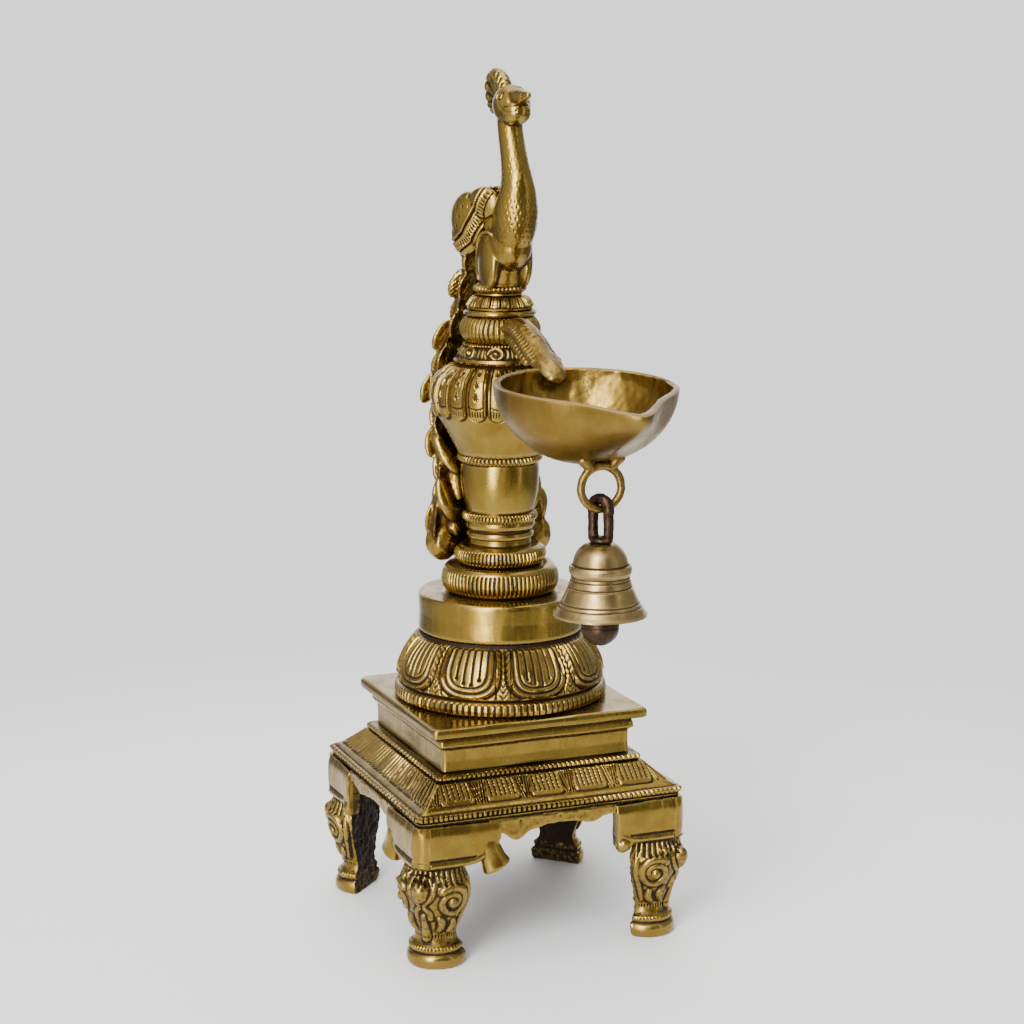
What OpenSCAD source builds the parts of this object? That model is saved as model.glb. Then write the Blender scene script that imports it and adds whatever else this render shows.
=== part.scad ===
// Standing oil lamp of cast brass: a four-legged stool base, a turned column, a peacock whose
// train falls down the back, and a spouted bowl held out in front with a bell hung below it.
// Millimetres. The origin is on the floor under the centre of the base, +Z is up,
// the bowl points along -Y, and the lamp is the same on its +X and -X sides.

/* [Stool base] */
// Half of the width across the corner brackets
base_half = 51.3; // [49:0.1:54]
// Height of the legs, from the floor to the plinth
leg_h = 51.6; // [48:0.1:56]
// Distance of each leg's axis from the two centre planes
leg_pitch = 40.4; // [39:0.1:41]
// Radius of a foot
foot_r = 10.1; // [9:0.1:10.5]
// Length of a bracket along one side, from the corner
bracket_len = 30; // [26:0.5:34]
// Height of the brackets
bracket_h = 12.6; // [10:0.1:15]
// Wall thickness of the cast base
base_wall = 3.4; // [2.5:0.1:4.5]

/* [Column] */
// Radius of the plain drum
drum_r = 29.7; // [26:0.1:32]
// Height of the plain drum
drum_h = 14.1; // [11:0.1:18]
// Radius of the lotus seat at its milled foot
lotus_r = 38.4; // [35:0.1:39]
// Largest radius of the pot
pot_r = 24.7; // [23:0.1:25]
// Radius of the cup at its rim
cup_r = 14.1; // [13:0.1:15]
// Radius of the threaded tie rod
rod_r = 3; // [2.5:0.1:3.5]

/* [Bowl] */
// Radius of the bowl's rim
bowl_r = 30.2; // [27:0.1:32]
// Depth of the bowl outside
bowl_depth = 25.3; // [22:0.1:27]
// Distance of the bowl's centre in front of the column's axis
bowl_reach = 75.7; // [74:0.1:80]
// Length of the pinched spout beyond the rim
spout_len = 14.8; // [8:0.1:17]
// Wall thickness of the bowl
bowl_wall = 2.4; // [2:0.1:3]

/* [Bell] */
// Radius of the bell's mouth
bell_r = 15.4; // [15:0.1:17]
// Radius of the clapper's ball
ball_r = 6.5; // [5.5:0.1:6.8]
// Distance of the hanging ring in front of the column's axis
bell_reach = 87.7; // [86:0.1:90]

/* [Hidden] */
$fn = 96;

// Finishes
polished = [0.74, 0.60, 0.28];
antique = [0.58, 0.45, 0.18];
bronze = [0.66, 0.52, 0.34];
dark_metal = [0.22, 0.15, 0.10];
steel = [0.62, 0.62, 0.60];

// Heights of the plinth's courses
band_h = 3.6;
slope_h = 7.8;
neck_h = 11;
slab_h = 3.5;
plinth_plate = 6;
hollow_half = 32.2;
slab_half = 40.6;

// Where each piece of the stack stands
plinth_z = leg_h;
neck_z = plinth_z + band_h + slope_h + 2.4;
slab_top = neck_z + neck_h + 6.1;
lotus_h = 24.2;
drum_z = slab_top + lotus_h;
foot_ring_z = drum_z + drum_h;
second_ring_z = foot_ring_z + 10.2;
waist_z = second_ring_z + 7;
low_ring_z = waist_z + 8.6;
cup_z = low_ring_z + 3.4;
cup_h = 17.9;
up_ring_z = cup_z + cup_h;
pot_z = up_ring_z + 3.1;
pot_h = 32.6;
scroll_z = pot_z + pot_h;
ribbed_z = scroll_z + 6.9;
disc_z = ribbed_z + 9.7;
capital_z = disc_z + 2.1;
perch_z = capital_z + 4.9;
bird_z = perch_z + 4.4;

// The rod runs in a clearance bore and screws into the peacock
bore_r = rod_r + 0.4;
thread_depth = 9;

// Bowl, bell and clapper levels, all hung from the ribbed ring's height
bowl_rim_z = ribbed_z - 6.7;
bowl_tilt = 4;
ring_major = 6.65;
ring_wire = 1.35;
ring_z = bowl_rim_z - 32.2;
swing_z = ring_z - ring_major;
loop_window = 1.9;
loop_bar = 2.4;
loop_width = 3.6;
crown_z = swing_z - 11;
mouth_z = crown_z - 24;
link_top_z = crown_z - 8;
link_low_z = link_top_z - 4.6;
link_window = 1.2;
link_bar = 1.4;
clapper_z = link_low_z - link_window - link_bar / 2;
ball_z = clapper_z - 13.2;

// ---- shared shapes ----

// Points of a quadratic curve from a to c, drawn towards b
function curve(a, b, c, n = 8) = [
    for (i = [0:n]) let (t = i / n) (1 - t) * (1 - t) * a + 2 * t * (1 - t) * b + t * t * c
];

// One horizontal ellipse of points
function ellipse_ring(z, y_mid, rx, ry, n = 32) = [
    for (i = [0:n - 1]) let (a = 360 * i / n) [rx * cos(a), y_mid + ry * sin(a), z]
];

// Closed skin over rings that have the same number of points, each counter-clockwise from above
module skin(rings) {
    n = len(rings[0]);
    m = len(rings);
    points = [for (ring = rings) each ring];
    sides = [
        for (i = [0:m - 2]) for (j = [0:n - 1]) let (k = (j + 1) % n)
            each [[i * n + j, (i + 1) * n + j, (i + 1) * n + k], [i * n + j, (i + 1) * n + k, i * n + k]]
    ];
    low_cap = [for (j = [0:n - 1]) j];
    high_cap = [for (j = [n - 1:-1:0]) (m - 1) * n + j];
    polyhedron(points, concat([low_cap], sides, [high_cap]));
}

// A turned ring of the stack: outline points are [radius, height above z], bottom to top
module turned(z, outline, bore = bore_r) {
    last = len(outline) - 1;
    translate([0, 0, z])
        rotate_extrude()
            polygon(concat([[bore, outline[0][1]]], outline, [[bore, outline[last][1]]]));
}

// A square course of the plinth
module course(half_low, half_high, z, h) {
    if (half_low == half_high)
        translate([-half_low, -half_low, z]) cube([2 * half_low, 2 * half_low, h]);
    else
        translate([0, 0, z])
            linear_extrude(height = h, scale = half_high / half_low)
                square(2 * half_low, center = true);
}

// ---- stool base ----

module plinth_base() {
    foot_half = base_half - 1.7;
    slope_half = base_half - 3.1;
    top_half = slab_half - 2.5;
    color(antique)
        difference() {
            union() {
                course(foot_half, foot_half, plinth_z, band_h);
                course(slope_half, top_half, plinth_z + band_h, slope_h);
                course(top_half, top_half, plinth_z + band_h + slope_h, 2.4);
            }
            course(slope_half - base_wall, hollow_half, plinth_z - 0.01, band_h + slope_h - 2);
            course(hollow_half, hollow_half, plinth_z, band_h + slope_h + 3);
        }
}

module plinth_top() {
    neck_half = slab_half - 4.9;
    cornice_half = slab_half - 3.5;
    cavity_h = slab_top - plinth_plate - neck_z;
    color(polished)
        difference() {
            union() {
                course(neck_half, neck_half, neck_z, slab_top - slab_h - neck_z);
                course(cornice_half, cornice_half, slab_top - slab_h - 4.6, 3.2);
                course(slab_half, slab_half, slab_top - slab_h, slab_h);
            }
            course(hollow_half, hollow_half, neck_z - 1, cavity_h + 1);
            translate([0, 0, slab_top - plinth_plate - 1]) cylinder(h = plinth_plate + 2, r = bore_r);
        }
}

// Thin strips that close the rim between the brackets
module apron_strips() {
    strip_h = 4;
    strip_wall = 3;
    strip_len = 2 * (base_half - bracket_len);
    color(antique)
        for (turn = [0:90:270])
            rotate([0, 0, turn])
                translate([-strip_len / 2, -base_half + 0.8, leg_h - strip_h])
                    cube([strip_len, strip_wall, strip_h]);
}

// Leg with its corner bracket. It is drawn for the front left corner.
module leg() {
    bracket_z = leg_h - bracket_h;
    bracket_wall = 5;
    flat_side = 2;
    ear_r = 3.2;
    shank = concat(
        [[0, 0], [foot_r - 0.6, 0], [foot_r, 1.6], [foot_r - 0.2, 6], [foot_r - 1.6, 7]],
        [[foot_r - 1.2, 8.2], [foot_r - 1.2, 9.6], [foot_r - 2.5, 11]],
        curve([foot_r - 2.5, 11.8], [foot_r, 19], [foot_r + 2, 27], 5),
        [[foot_r + 1.6, bracket_z - 4.5], [foot_r + 0.8, bracket_z - 3], [foot_r + 0.8, leg_h], [0, leg_h]]
    );
    intersection() {
        translate([-leg_pitch, -leg_pitch, 0])
            intersection() {
                rotate_extrude() polygon(shank);
                rotate([0, 0, 45]) translate([flat_side - 60, -30, -1]) cube([60, 60, leg_h + 2]);
            }
        translate([-base_half, -base_half, -1]) cube([40, 40, leg_h + 1]);
    }
    for (side = [0, 1])
        mirror([side, -side, 0]) {
            translate([-base_half, -base_half, bracket_z]) cube([bracket_len, bracket_wall, bracket_h]);
            translate([-base_half + bracket_len - ear_r, -base_half, bracket_z - ear_r / 2])
                rotate([-90, 0, 0]) cylinder(h = bracket_wall, r = ear_r);
        }
}

module leg_front_left() color(antique) leg();
module leg_front_right() color(antique) mirror([1, 0, 0]) leg();
module leg_rear_left() color(antique) mirror([0, 1, 0]) leg();
module leg_rear_right() color(antique) rotate([0, 0, 180]) leg();

// ---- column ----

module lotus_seat() {
    inner_r = lotus_r - 9;
    color(antique)
        difference() {
            turned(slab_top, concat(
                [[lotus_r - 1.4, 0], [lotus_r, 1.2], [lotus_r, 4.4], [lotus_r - 1.4, 5.4]],
                curve([lotus_r - 0.6, 6.6], [lotus_r - 1.6, 16.5], [drum_r - 1.6, lotus_h])
            ));
            translate([0, 0, slab_top - 1]) cylinder(h = lotus_h - 4, r = inner_r);
        }
}

module drum() {
    chamfer = 0.8;
    color(polished)
        difference() {
            turned(drum_z, [
                [drum_r - chamfer, 0], [drum_r, chamfer], [drum_r, drum_h - chamfer], [drum_r - chamfer, drum_h]
            ]);
            translate([0, 0, drum_z - 1]) cylinder(h = drum_h - 3, r = drum_r - 5);
        }
}

module stem_foot_ring() {
    color(antique)
        turned(foot_ring_z, concat([[19.2, 0]], curve([19.9, 1.2], [22, 5], [19.5, 9.4], 6), [[17, 10.2]]));
}

module stem_second_ring() {
    color(antique)
        turned(second_ring_z, concat([[14.8, 0]], curve([15.4, 0.8], [17.6, 3.4], [15, 6.2], 6), [[12.4, 7]]));
}

module waist_collar() {
    color(polished)
        turned(waist_z, [
            [11.2, 0], [11.2, 2.6], [11.9, 3], [11.9, 4.6], [11.2, 5], [12.4, 6.4], [12.6, 8.6]
        ]);
}

module lower_milled_ring() {
    color(antique)
        turned(low_ring_z, concat([[12.4, 0]], curve([12.8, 0.5], [13.9, 1.7], [12.8, 2.9], 6), [[12.2, 3.4]]));
}

module cup_body() {
    color(polished)
        turned(cup_z, curve([cup_r - 2.2, 0], [cup_r + 0.4, 8], [cup_r, cup_h], 10));
}

module upper_milled_ring() {
    color(antique)
        turned(up_ring_z, concat(
            [[cup_r, 0]], curve([cup_r + 0.6, 0.4], [cup_r + 1.6, 1.6], [cup_r + 0.6, 2.7], 6), [[cup_r, 3.1]]
        ));
}

module pot() {
    color(polished)
        turned(pot_z, concat(
            curve([pot_r - 9.6, 0], [pot_r - 7, 6.5], [pot_r - 3.4, 12.6], 6),
            curve([pot_r - 1.6, 14.6], [pot_r + 1.4, 21.5], [pot_r - 1, 26], 6),
            curve([pot_r - 2.2, 27.6], [pot_r - 6, 30], [pot_r - 9.8, pot_h], 4)
        ));
}

module scroll_collar() {
    color(antique)
        turned(scroll_z, concat(
            [[16.3, 0], [16.3, 1.8]], curve([15.2, 2.4], [14.6, 4.5], [13.2, 6.2], 5), [[12.2, 6.9]]
        ));
}

module ribbed_ring() {
    color(antique)
        turned(ribbed_z, curve([11.6, 0], [16.2, 4.85], [11.6, 9.7], 12));
}

module disc_collar() {
    color(polished)
        turned(disc_z, [[12.2, 0], [12.8, 0.5], [12.8, 1.6], [12.2, 2.1]]);
}

module petal_capital() {
    color(antique)
        turned(capital_z, concat([[11.4, 0], [11.4, 1]], curve([11.2, 1.4], [10.6, 3.6], [8, 4.9], 5)));
}

module perch_collar() {
    color(antique)
        turned(perch_z, concat([[7.8, 0], [7.8, 0.9]], curve([8.4, 1.3], [10.2, 2.6], [8.4, 3.8], 5), [[8, 4.4]]));
}

// ---- peacock ----

// Levels of the bird, each [height above its foot, middle in Y, half width, half depth]
bird_levels = [
    [0, -0.5, 7.4, 8], [4.4, -1.5, 7.3, 9.4], [9.4, -2, 7.6, 11.4], [13.4, -2.5, 8.6, 14],
    [17.4, -3, 10, 18], [21.4, -4, 10.8, 19], [25.4, -5, 10.6, 18.4], [29.4, -7, 9.2, 16],
    [32.9, -10, 7.6, 12.2], [35.9, -14.2, 6, 7.6], [39.4, -15.2, 5.2, 5.8], [45.4, -12.5, 4.6, 5.2],
    [51.4, -10.2, 4.4, 4.9], [56.4, -9, 4.4, 4.8], [58.4, -9.6, 5, 6], [61.4, -10.4, 5.8, 7],
    [64.4, -10.8, 5.9, 7], [66.9, -10.2, 4.8, 5.8], [68.4, -9.8, 2.5, 3.2]
];

module peacock_body() {
    beak_z = bird_z + 65.2;
    beak_back = -14;
    beak_len = 13.6;
    color(polished) {
        difference() {
            skin([for (level = bird_levels) ellipse_ring(bird_z + level[0], level[1], level[2], level[3])]);
            translate([0, 0, bird_z - 1]) cylinder(h = thread_depth + 1, r = rod_r);
        }
        translate([0, beak_back, beak_z]) rotate([90, 0, 0]) cylinder(h = beak_len, r1 = 3.4, r2 = 0.9);
    }
}

// Fluted fan standing on the back of the head
module peacock_crest() {
    crest_w = 5.2;
    crest_z = bird_z + 61;
    outline = concat(
        [[-9, 3], [-8, 6.6]], curve([-5, 9.6], [-1.5, 13.8], [3, 11.6], 5),
        curve([4.6, 10.4], [8.6, 6.4], [5.6, 1.8], 5), [[2.6, 0], [-7, 0]]
    );
    color(antique)
        translate([-crest_w / 2, 0, crest_z])
            rotate([90, 0, 90]) linear_extrude(height = crest_w) polygon(outline);
}

// Shield-shaped wing folded against the body. It is drawn for the right side.
module wing() {
    // Each ball of the shield: [x, y, height above the foot of the bird, radius]
    balls = [[6.2, -3, 30.4, 3.2], [9.8, 5.2, 22.5, 3.8], [8.4, 11.6, 14.6, 3.6], [9.2, -2.4, 18.6, 3.2]];
    hull()
        for (ball = balls)
            translate([ball[0], ball[1], bird_z + ball[2]]) sphere(r = ball[3], $fn = 28);
}

module left_wing() color(antique) mirror([1, 0, 0]) wing();
module right_wing() color(antique) wing();

// Levels of the train, top to bottom: [drop below the foot of the bird, middle in Y, half width]
train_levels = [
    [-13, 16, 5], [-8, 17.6, 6.4], [1, 20, 7], [16, 23, 10], [25, 25, 14], [32, 26.8, 16.5],
    [40, 27.9, 17.6], [48, 26.8, 18], [56, 23.6, 18.2], [63, 20, 18.8], [70, 17.9, 20],
    [80, 17.6, 21.5], [90, 18.6, 22.6], [96, 19.4, 22.4], [100, 19.6, 19]
];

// One level's crescent, curved forward at its two edges
function crescent(z, y_mid, half, thick = 4, bend = 0.015, n = 9) = concat(
    [for (i = [0:n - 1]) let (x = half * (2 * i / (n - 1) - 1)) [x, y_mid - bend * x * x - thick / 2, z]],
    [for (i = [n - 1:-1:0]) let (x = half * (2 * i / (n - 1) - 1)) [x, y_mid - bend * x * x + thick / 2, z]]
);

module tail_train() {
    last = len(train_levels) - 1;
    color(antique)
        skin([
            for (i = [last:-1:0]) let (level = train_levels[i]) crescent(bird_z - level[0], level[1], level[2])
        ]);
}

// ---- bowl ----

// Centre line of the arm, as [y, z above the ribbed ring's foot, half width, half height]
arm_levels = [
    [-11.8, 5, 4.6, 3.9], [-17, 6, 4.6, 4.2], [-23, 5.2, 4.4, 4.1], [-30, 2.2, 4.2, 3.7],
    [-37, -1.4, 4.2, 3.4], [-43, -3.6, 4.4, 2.9], [-48.5, -6.2, 4, 2.5], [-52.5, -9.4, 2.6, 1.6]
];

// Cast trunk from the ribbed ring, over the bowl's rim and down inside its back wall
module bowl_arm() {
    last = len(arm_levels) - 1;
    sides = 20;
    color(polished)
        skin([
            for (i = [0:last])
                let (
                    here = arm_levels[i],
                    before = arm_levels[max(i - 1, 0)],
                    after = arm_levels[min(i + 1, last)],
                    lean = atan2(after[1] - before[1], after[0] - before[0])
                )
                [
                    for (k = [0:sides - 1])
                        let (a = 360 * k / sides, up = here[3] * sin(a))
                        [here[2] * cos(a), here[0] - up * sin(lean), ribbed_z + here[1] + up * cos(lean)]
                ]
        ]);
}

// Point of the bowl's skin: turn is the angle about its axis, rise runs from 0 at the bottom to 90
// at the rim, and inset is the distance in from the outside
function bowl_point(turn, rise, inset) =
    let (
        off = abs(turn - 270) / 17,
        spout = spout_len * exp(-pow(off, 1.5)) * pow(sin(rise), 7),
        r = (bowl_r - inset) * sin(rise) + spout,
        z = -(bowl_depth - inset) * cos(rise) - 0.5 * spout * sin(rise) * 0.2
    )
    [r * cos(turn), r * sin(turn), z];

module oil_bowl() {
    sides = 72;
    steps = 8;
    first = 14;
    rises = [for (i = [0:steps]) first + (90 - first) * i / steps];
    color(polished)
        translate([0, -bowl_reach, bowl_rim_z])
            rotate([bowl_tilt, 0, 0])
                skin(concat(
                    [for (rise = rises) [for (k = [0:sides - 1]) bowl_point(360 * k / sides, rise, 0)]],
                    [for (i = [steps:-1:0]) [for (k = [0:sides - 1])
                        bowl_point(360 * k / sides, rises[i], bowl_wall)]]
                ));
}

// Ring that carries the bell, with two prongs up to the bowl
module bell_hanger() {
    prong_len = 6.6;
    prong_lean = 38;
    color(polished)
        translate([0, -bell_reach, ring_z]) {
            rotate([90, 0, 0]) rotate_extrude() translate([ring_major, 0]) circle(r = ring_wire, $fn = 32);
            for (side = [-1, 1])
                translate([side * 3.4, 0, 5.2])
                    rotate([0, side * prong_lean, 0]) cylinder(h = prong_len, r1 = 1.7, r2 = 2.2, $fn = 48);
        }
}

// ---- bell ----

module bell_loop() {
    outer = loop_window + loop_bar;
    foot = crown_z - swing_z;
    color(dark_metal)
        translate([-loop_width / 2, -bell_reach, swing_z])
            rotate([90, 0, 90])
                linear_extrude(height = loop_width)
                    difference() {
                        union() {
                            circle(r = outer);
                            translate([-outer, foot]) square([2 * outer, -foot]);
                        }
                        circle(r = loop_window);
                        translate([-loop_window, foot + 3]) square([2 * loop_window, -foot - 3]);
                    }
}

module bell() {
    wall = 1.7;
    height = crown_z - mouth_z;
    outer = concat(
        [[0, height], [4.6, height]], curve([5.2, height - 0.6], [8.8, height - 2], [9, height - 7], 6),
        [[10.1, height - 8.2], [10.1, height - 11]],
        curve([10, height - 11.6], [10.6, height - 17], [bell_r - 2, 2.6], 7), [[bell_r, 0.8], [bell_r, 0]]
    );
    inner = concat(
        [[bell_r - wall, 0]], curve([bell_r - wall - 1.6, 2.6], [9.2, 7], [8.2, height - 11.6], 7),
        curve([7.6, height - 7], [7.2, height - 3.4], [3.6, height - 2.8], 5), [[0, height - 2.8]]
    );
    color(bronze)
        translate([0, -bell_reach, mouth_z]) rotate_extrude() polygon(concat(outer, inner));
}

// U of wire under the crown
module clapper_staple() {
    wire = 0.9;
    half = 2.2;
    top = crown_z - 2.8;
    color(dark_metal)
        translate([0, -bell_reach, 0]) {
            for (side = [-1, 1])
                translate([0, side * half, link_top_z]) cylinder(h = top - link_top_z, r = wire, $fn = 32);
            for (side = [-1, 1]) translate([0, side * half, link_top_z]) sphere(r = wire, $fn = 32);
            translate([0, -half, link_top_z]) rotate([-90, 0, 0]) cylinder(h = 2 * half, r = wire, $fn = 32);
        }
}

module clapper_link() {
    thick = 1.6;
    span = link_top_z - link_low_z;
    outer = link_window + link_bar;
    color(dark_metal)
        translate([0, -bell_reach + thick / 2, link_low_z])
            rotate([90, 0, 0])
                linear_extrude(height = thick)
                    difference() {
                        union() {
                            circle(r = outer, $fn = 48);
                            translate([0, span]) circle(r = outer, $fn = 48);
                            translate([-outer, 0]) square([2 * outer, span]);
                        }
                        circle(r = link_window, $fn = 48);
                        translate([0, span]) circle(r = link_window, $fn = 48);
                        translate([-link_window, 0]) square([2 * link_window, span]);
                    }
}

module clapper() {
    eye_window = 1.35;
    eye_r = 2.5;
    eye_w = 1.2;
    stem_r = 1.2;
    color(dark_metal)
        translate([0, -bell_reach, 0]) {
            translate([-eye_w / 2, 0, clapper_z])
                rotate([0, 90, 0])
                    difference() {
                        cylinder(h = eye_w, r = eye_r, $fn = 48);
                        translate([0, 0, -1]) cylinder(h = eye_w + 2, r = eye_window, $fn = 48);
                    }
            translate([0, 0, ball_z]) cylinder(h = clapper_z - eye_r + 0.5 - ball_z, r = stem_r, $fn = 32);
            translate([0, 0, ball_z]) sphere(r = ball_r);
        }
}

// ---- tie rod ----

module tie_rod() {
    low = slab_top - plinth_plate - 9;
    color(steel) translate([0, 0, low]) cylinder(h = bird_z + thread_depth - low, r = rod_r);
}

module tie_nut() {
    nut_h = 5;
    across_corners = 3.85 * rod_r;
    color(steel)
        translate([0, 0, slab_top - plinth_plate - 2 - nut_h])
            difference() {
                cylinder(h = nut_h, r = across_corners / 2, $fn = 6);
                translate([0, 0, -1]) cylinder(h = nut_h + 2, r = rod_r + 0.05);
            }
}

module clamp_washer() {
    color(steel)
        translate([0, 0, slab_top - plinth_plate - 2])
            difference() {
                cylinder(h = 2, r = 3 * rod_r);
                translate([0, 0, -1]) cylinder(h = 4, r = bore_r);
            }
}

plinth_base();
plinth_top();
apron_strips();
leg_front_left();
leg_front_right();
leg_rear_left();
leg_rear_right();
lotus_seat();
drum();
stem_foot_ring();
stem_second_ring();
waist_collar();
lower_milled_ring();
cup_body();
upper_milled_ring();
pot();
scroll_collar();
ribbed_ring();
disc_collar();
petal_capital();
perch_collar();
peacock_body();
peacock_crest();
left_wing();
right_wing();
tail_train();
bowl_arm();
oil_bowl();
bell_hanger();
bell_loop();
bell();
clapper_staple();
clapper_link();
clapper();
tie_rod();
tie_nut();
clamp_washer();
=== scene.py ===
import math

import bmesh
import bpy
import numpy as np
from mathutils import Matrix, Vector


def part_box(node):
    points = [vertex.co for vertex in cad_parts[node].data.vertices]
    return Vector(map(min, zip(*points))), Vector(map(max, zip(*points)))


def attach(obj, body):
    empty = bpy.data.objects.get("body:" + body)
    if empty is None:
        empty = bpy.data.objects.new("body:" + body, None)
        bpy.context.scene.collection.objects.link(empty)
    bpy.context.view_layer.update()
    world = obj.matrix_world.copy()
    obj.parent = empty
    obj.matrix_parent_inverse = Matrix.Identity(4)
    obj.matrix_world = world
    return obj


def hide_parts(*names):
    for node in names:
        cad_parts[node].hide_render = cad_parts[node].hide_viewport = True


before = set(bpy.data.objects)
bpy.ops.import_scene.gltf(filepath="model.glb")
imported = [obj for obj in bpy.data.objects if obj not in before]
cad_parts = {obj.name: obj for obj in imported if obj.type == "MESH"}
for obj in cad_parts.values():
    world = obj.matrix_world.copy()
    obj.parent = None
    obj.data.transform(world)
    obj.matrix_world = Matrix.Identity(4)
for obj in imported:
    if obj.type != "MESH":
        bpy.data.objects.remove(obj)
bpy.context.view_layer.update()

MM = 0.001
TAU = 2 * math.pi
FRONT = -math.pi / 2  # the angle about Z that faces the bowl's side, -Y
BORE = 3.4  # radius of the hole for the tie rod through the column's rings, in millimetres


# ------------------------------------------------------------------ numbers and noise

def smooth(low, high, x):
    """0 below low, 1 above high, and a smooth rise between."""
    t = np.clip((x - low) / (high - low), 0, 1)
    return t * t * (3 - 2 * t)


def groove(x, width):
    """1 where x is a whole number, falling smoothly to 0 at width from it."""
    return smooth(0, 1, 1 - np.abs(x - np.round(x)) / width)


def bump(distance, width):
    """1 on a line, falling smoothly to 0 at width from it."""
    return smooth(0, 1, 1 - np.abs(distance) / width)


def noise(points, seed=0):
    """Smooth value noise from -1 to 1 at an array of points (..., 3)."""
    points = np.asarray(points, float)
    cell = np.floor(points).astype(np.int64)
    f = points - cell
    f = f * f * (3 - 2 * f)
    total = np.zeros(points.shape[:-1])
    for corner in range(8):
        step = np.array([corner & 1, corner >> 1 & 1, corner >> 2 & 1])
        c = cell + step
        h = c[..., 0] * 374761393 + c[..., 1] * 668265263 + c[..., 2] * 1440670441 + seed * 1274126177
        h = (h ^ (h >> 13)) * 1103515245 & 0x7FFFFFFF
        h = (h ^ (h >> 15)) * 1274126177 & 0x7FFFFFFF
        weight = np.prod(np.where(step == 1, f, 1 - f), axis=-1)
        total += weight * ((h >> 7 & 0xFFFF) / 32767.5 - 1)
    return total


def rough(points, size, seed=0, octaves=3):
    """Layered noise whose largest lumps are about size across."""
    points = np.asarray(points, float) / size
    return sum(noise(points * 2 ** k, seed + k) / 2 ** k for k in range(octaves))


def straight(points, step):
    """A polyline with more points, at most step apart, that keeps its corners."""
    points = np.asarray(points, float)
    out = [points[:1]]
    for a, b in zip(points[:-1], points[1:]):
        count = max(1, int(math.ceil(np.linalg.norm(b - a) / step)))
        out.append(a + (b - a) * (np.arange(1, count + 1) / count)[:, None])
    return np.concatenate(out)


def curved(points, step):
    """A smooth curve through the points, in even steps."""
    between = 16
    p = np.asarray(points, float)
    p = np.concatenate([2 * p[:1] - p[1:2], p, 2 * p[-1:] - p[-2:-1]])
    fine = []
    t = np.linspace(0, 1, between, endpoint=False)[:, None]
    for a, b, c, d in zip(p[:-3], p[1:-2], p[2:-1], p[3:]):
        fine.append(b + 0.5 * t * (c - a + t * (2 * a - 5 * b + 4 * c - d + t * (3 * (b - c) + d - a))))
    fine = np.concatenate(fine + [p[-2:-1]])
    length = np.concatenate([[0], np.cumsum(np.linalg.norm(np.diff(fine, axis=0), axis=1))])
    even = np.linspace(0, length[-1], max(2, int(round(length[-1] / step)) + 1))
    return np.stack([np.interp(even, length, fine[:, k]) for k in range(p.shape[1])], axis=1)


def to_line(x, y, line):
    """Distance from each (x, y) to a polyline."""
    best = np.full(np.shape(x), 1e9)
    for (ax, ay), (bx, by) in zip(line[:-1], line[1:]):
        dx, dy = bx - ax, by - ay
        t = np.clip(((x - ax) * dx + (y - ay) * dy) / (dx * dx + dy * dy + 1e-12), 0, 1)
        best = np.minimum(best, np.hypot(x - ax - t * dx, y - ay - t * dy))
    return best


# ------------------------------------------------------------------ meshes

def sheet_quads(rows, cols, wrap_rows=False, wrap_cols=False):
    """Quads of a grid of points, in row order."""
    i = np.arange(rows if wrap_rows else rows - 1)[:, None]
    j = np.arange(cols if wrap_cols else cols - 1)[None, :]
    i2, j2 = (i + 1) % rows, (j + 1) % cols
    quads = np.stack([i * cols + j, i * cols + j2, i2 * cols + j2, i2 * cols + j], axis=-1)
    return quads.reshape(-1, 4)


def build_mesh(name, verts, faces):
    """A Blender mesh from points in millimetres. faces is an array of quads, or a list of faces."""
    mesh = bpy.data.meshes.new(name)
    verts = np.asarray(verts, float) * MM
    if isinstance(faces, list):
        mesh.from_pydata(verts.tolist(), [], [list(map(int, f)) for f in faces])
    else:
        mesh.vertices.add(len(verts))
        mesh.vertices.foreach_set("co", verts.ravel())
        mesh.loops.add(faces.size)
        mesh.loops.foreach_set("vertex_index", faces.ravel().astype(np.int32))
        mesh.polygons.add(len(faces))
        mesh.polygons.foreach_set("loop_start", np.arange(0, faces.size, faces.shape[1], dtype=np.int32))
    mesh.update(calc_edges=True)
    mesh.validate()
    return mesh


def points_of(mesh):
    co = np.empty(len(mesh.vertices) * 3)
    mesh.vertices.foreach_get("co", co)
    return co.reshape(-1, 3) / MM


def move_points(mesh, points):
    mesh.vertices.foreach_set("co", (points * MM).ravel())
    mesh.update()


def normals_of(mesh):
    out = np.empty(len(mesh.vertices) * 3, np.float32)
    mesh.vertex_normals.foreach_get("vector", out)
    return out.reshape(-1, 3).astype(float)


def edges_of(mesh):
    out = np.empty(len(mesh.edges) * 2, np.int32)
    mesh.edges.foreach_get("vertices", out)
    return out.reshape(-1, 2)


def relax(points, edges, passes):
    """Each point moves to the middle of its neighbours, passes times."""
    n = len(points)
    a, b = edges[:, 0], edges[:, 1]
    degree = np.maximum(np.bincount(a, minlength=n) + np.bincount(b, minlength=n), 1)
    p = points.copy()
    for _ in range(passes):
        for k in range(3):
            total = np.bincount(a, p[b, k], n) + np.bincount(b, p[a, k], n)
            p[:, k] = 0.5 * p[:, k] + 0.5 * total / degree
    return p


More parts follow.
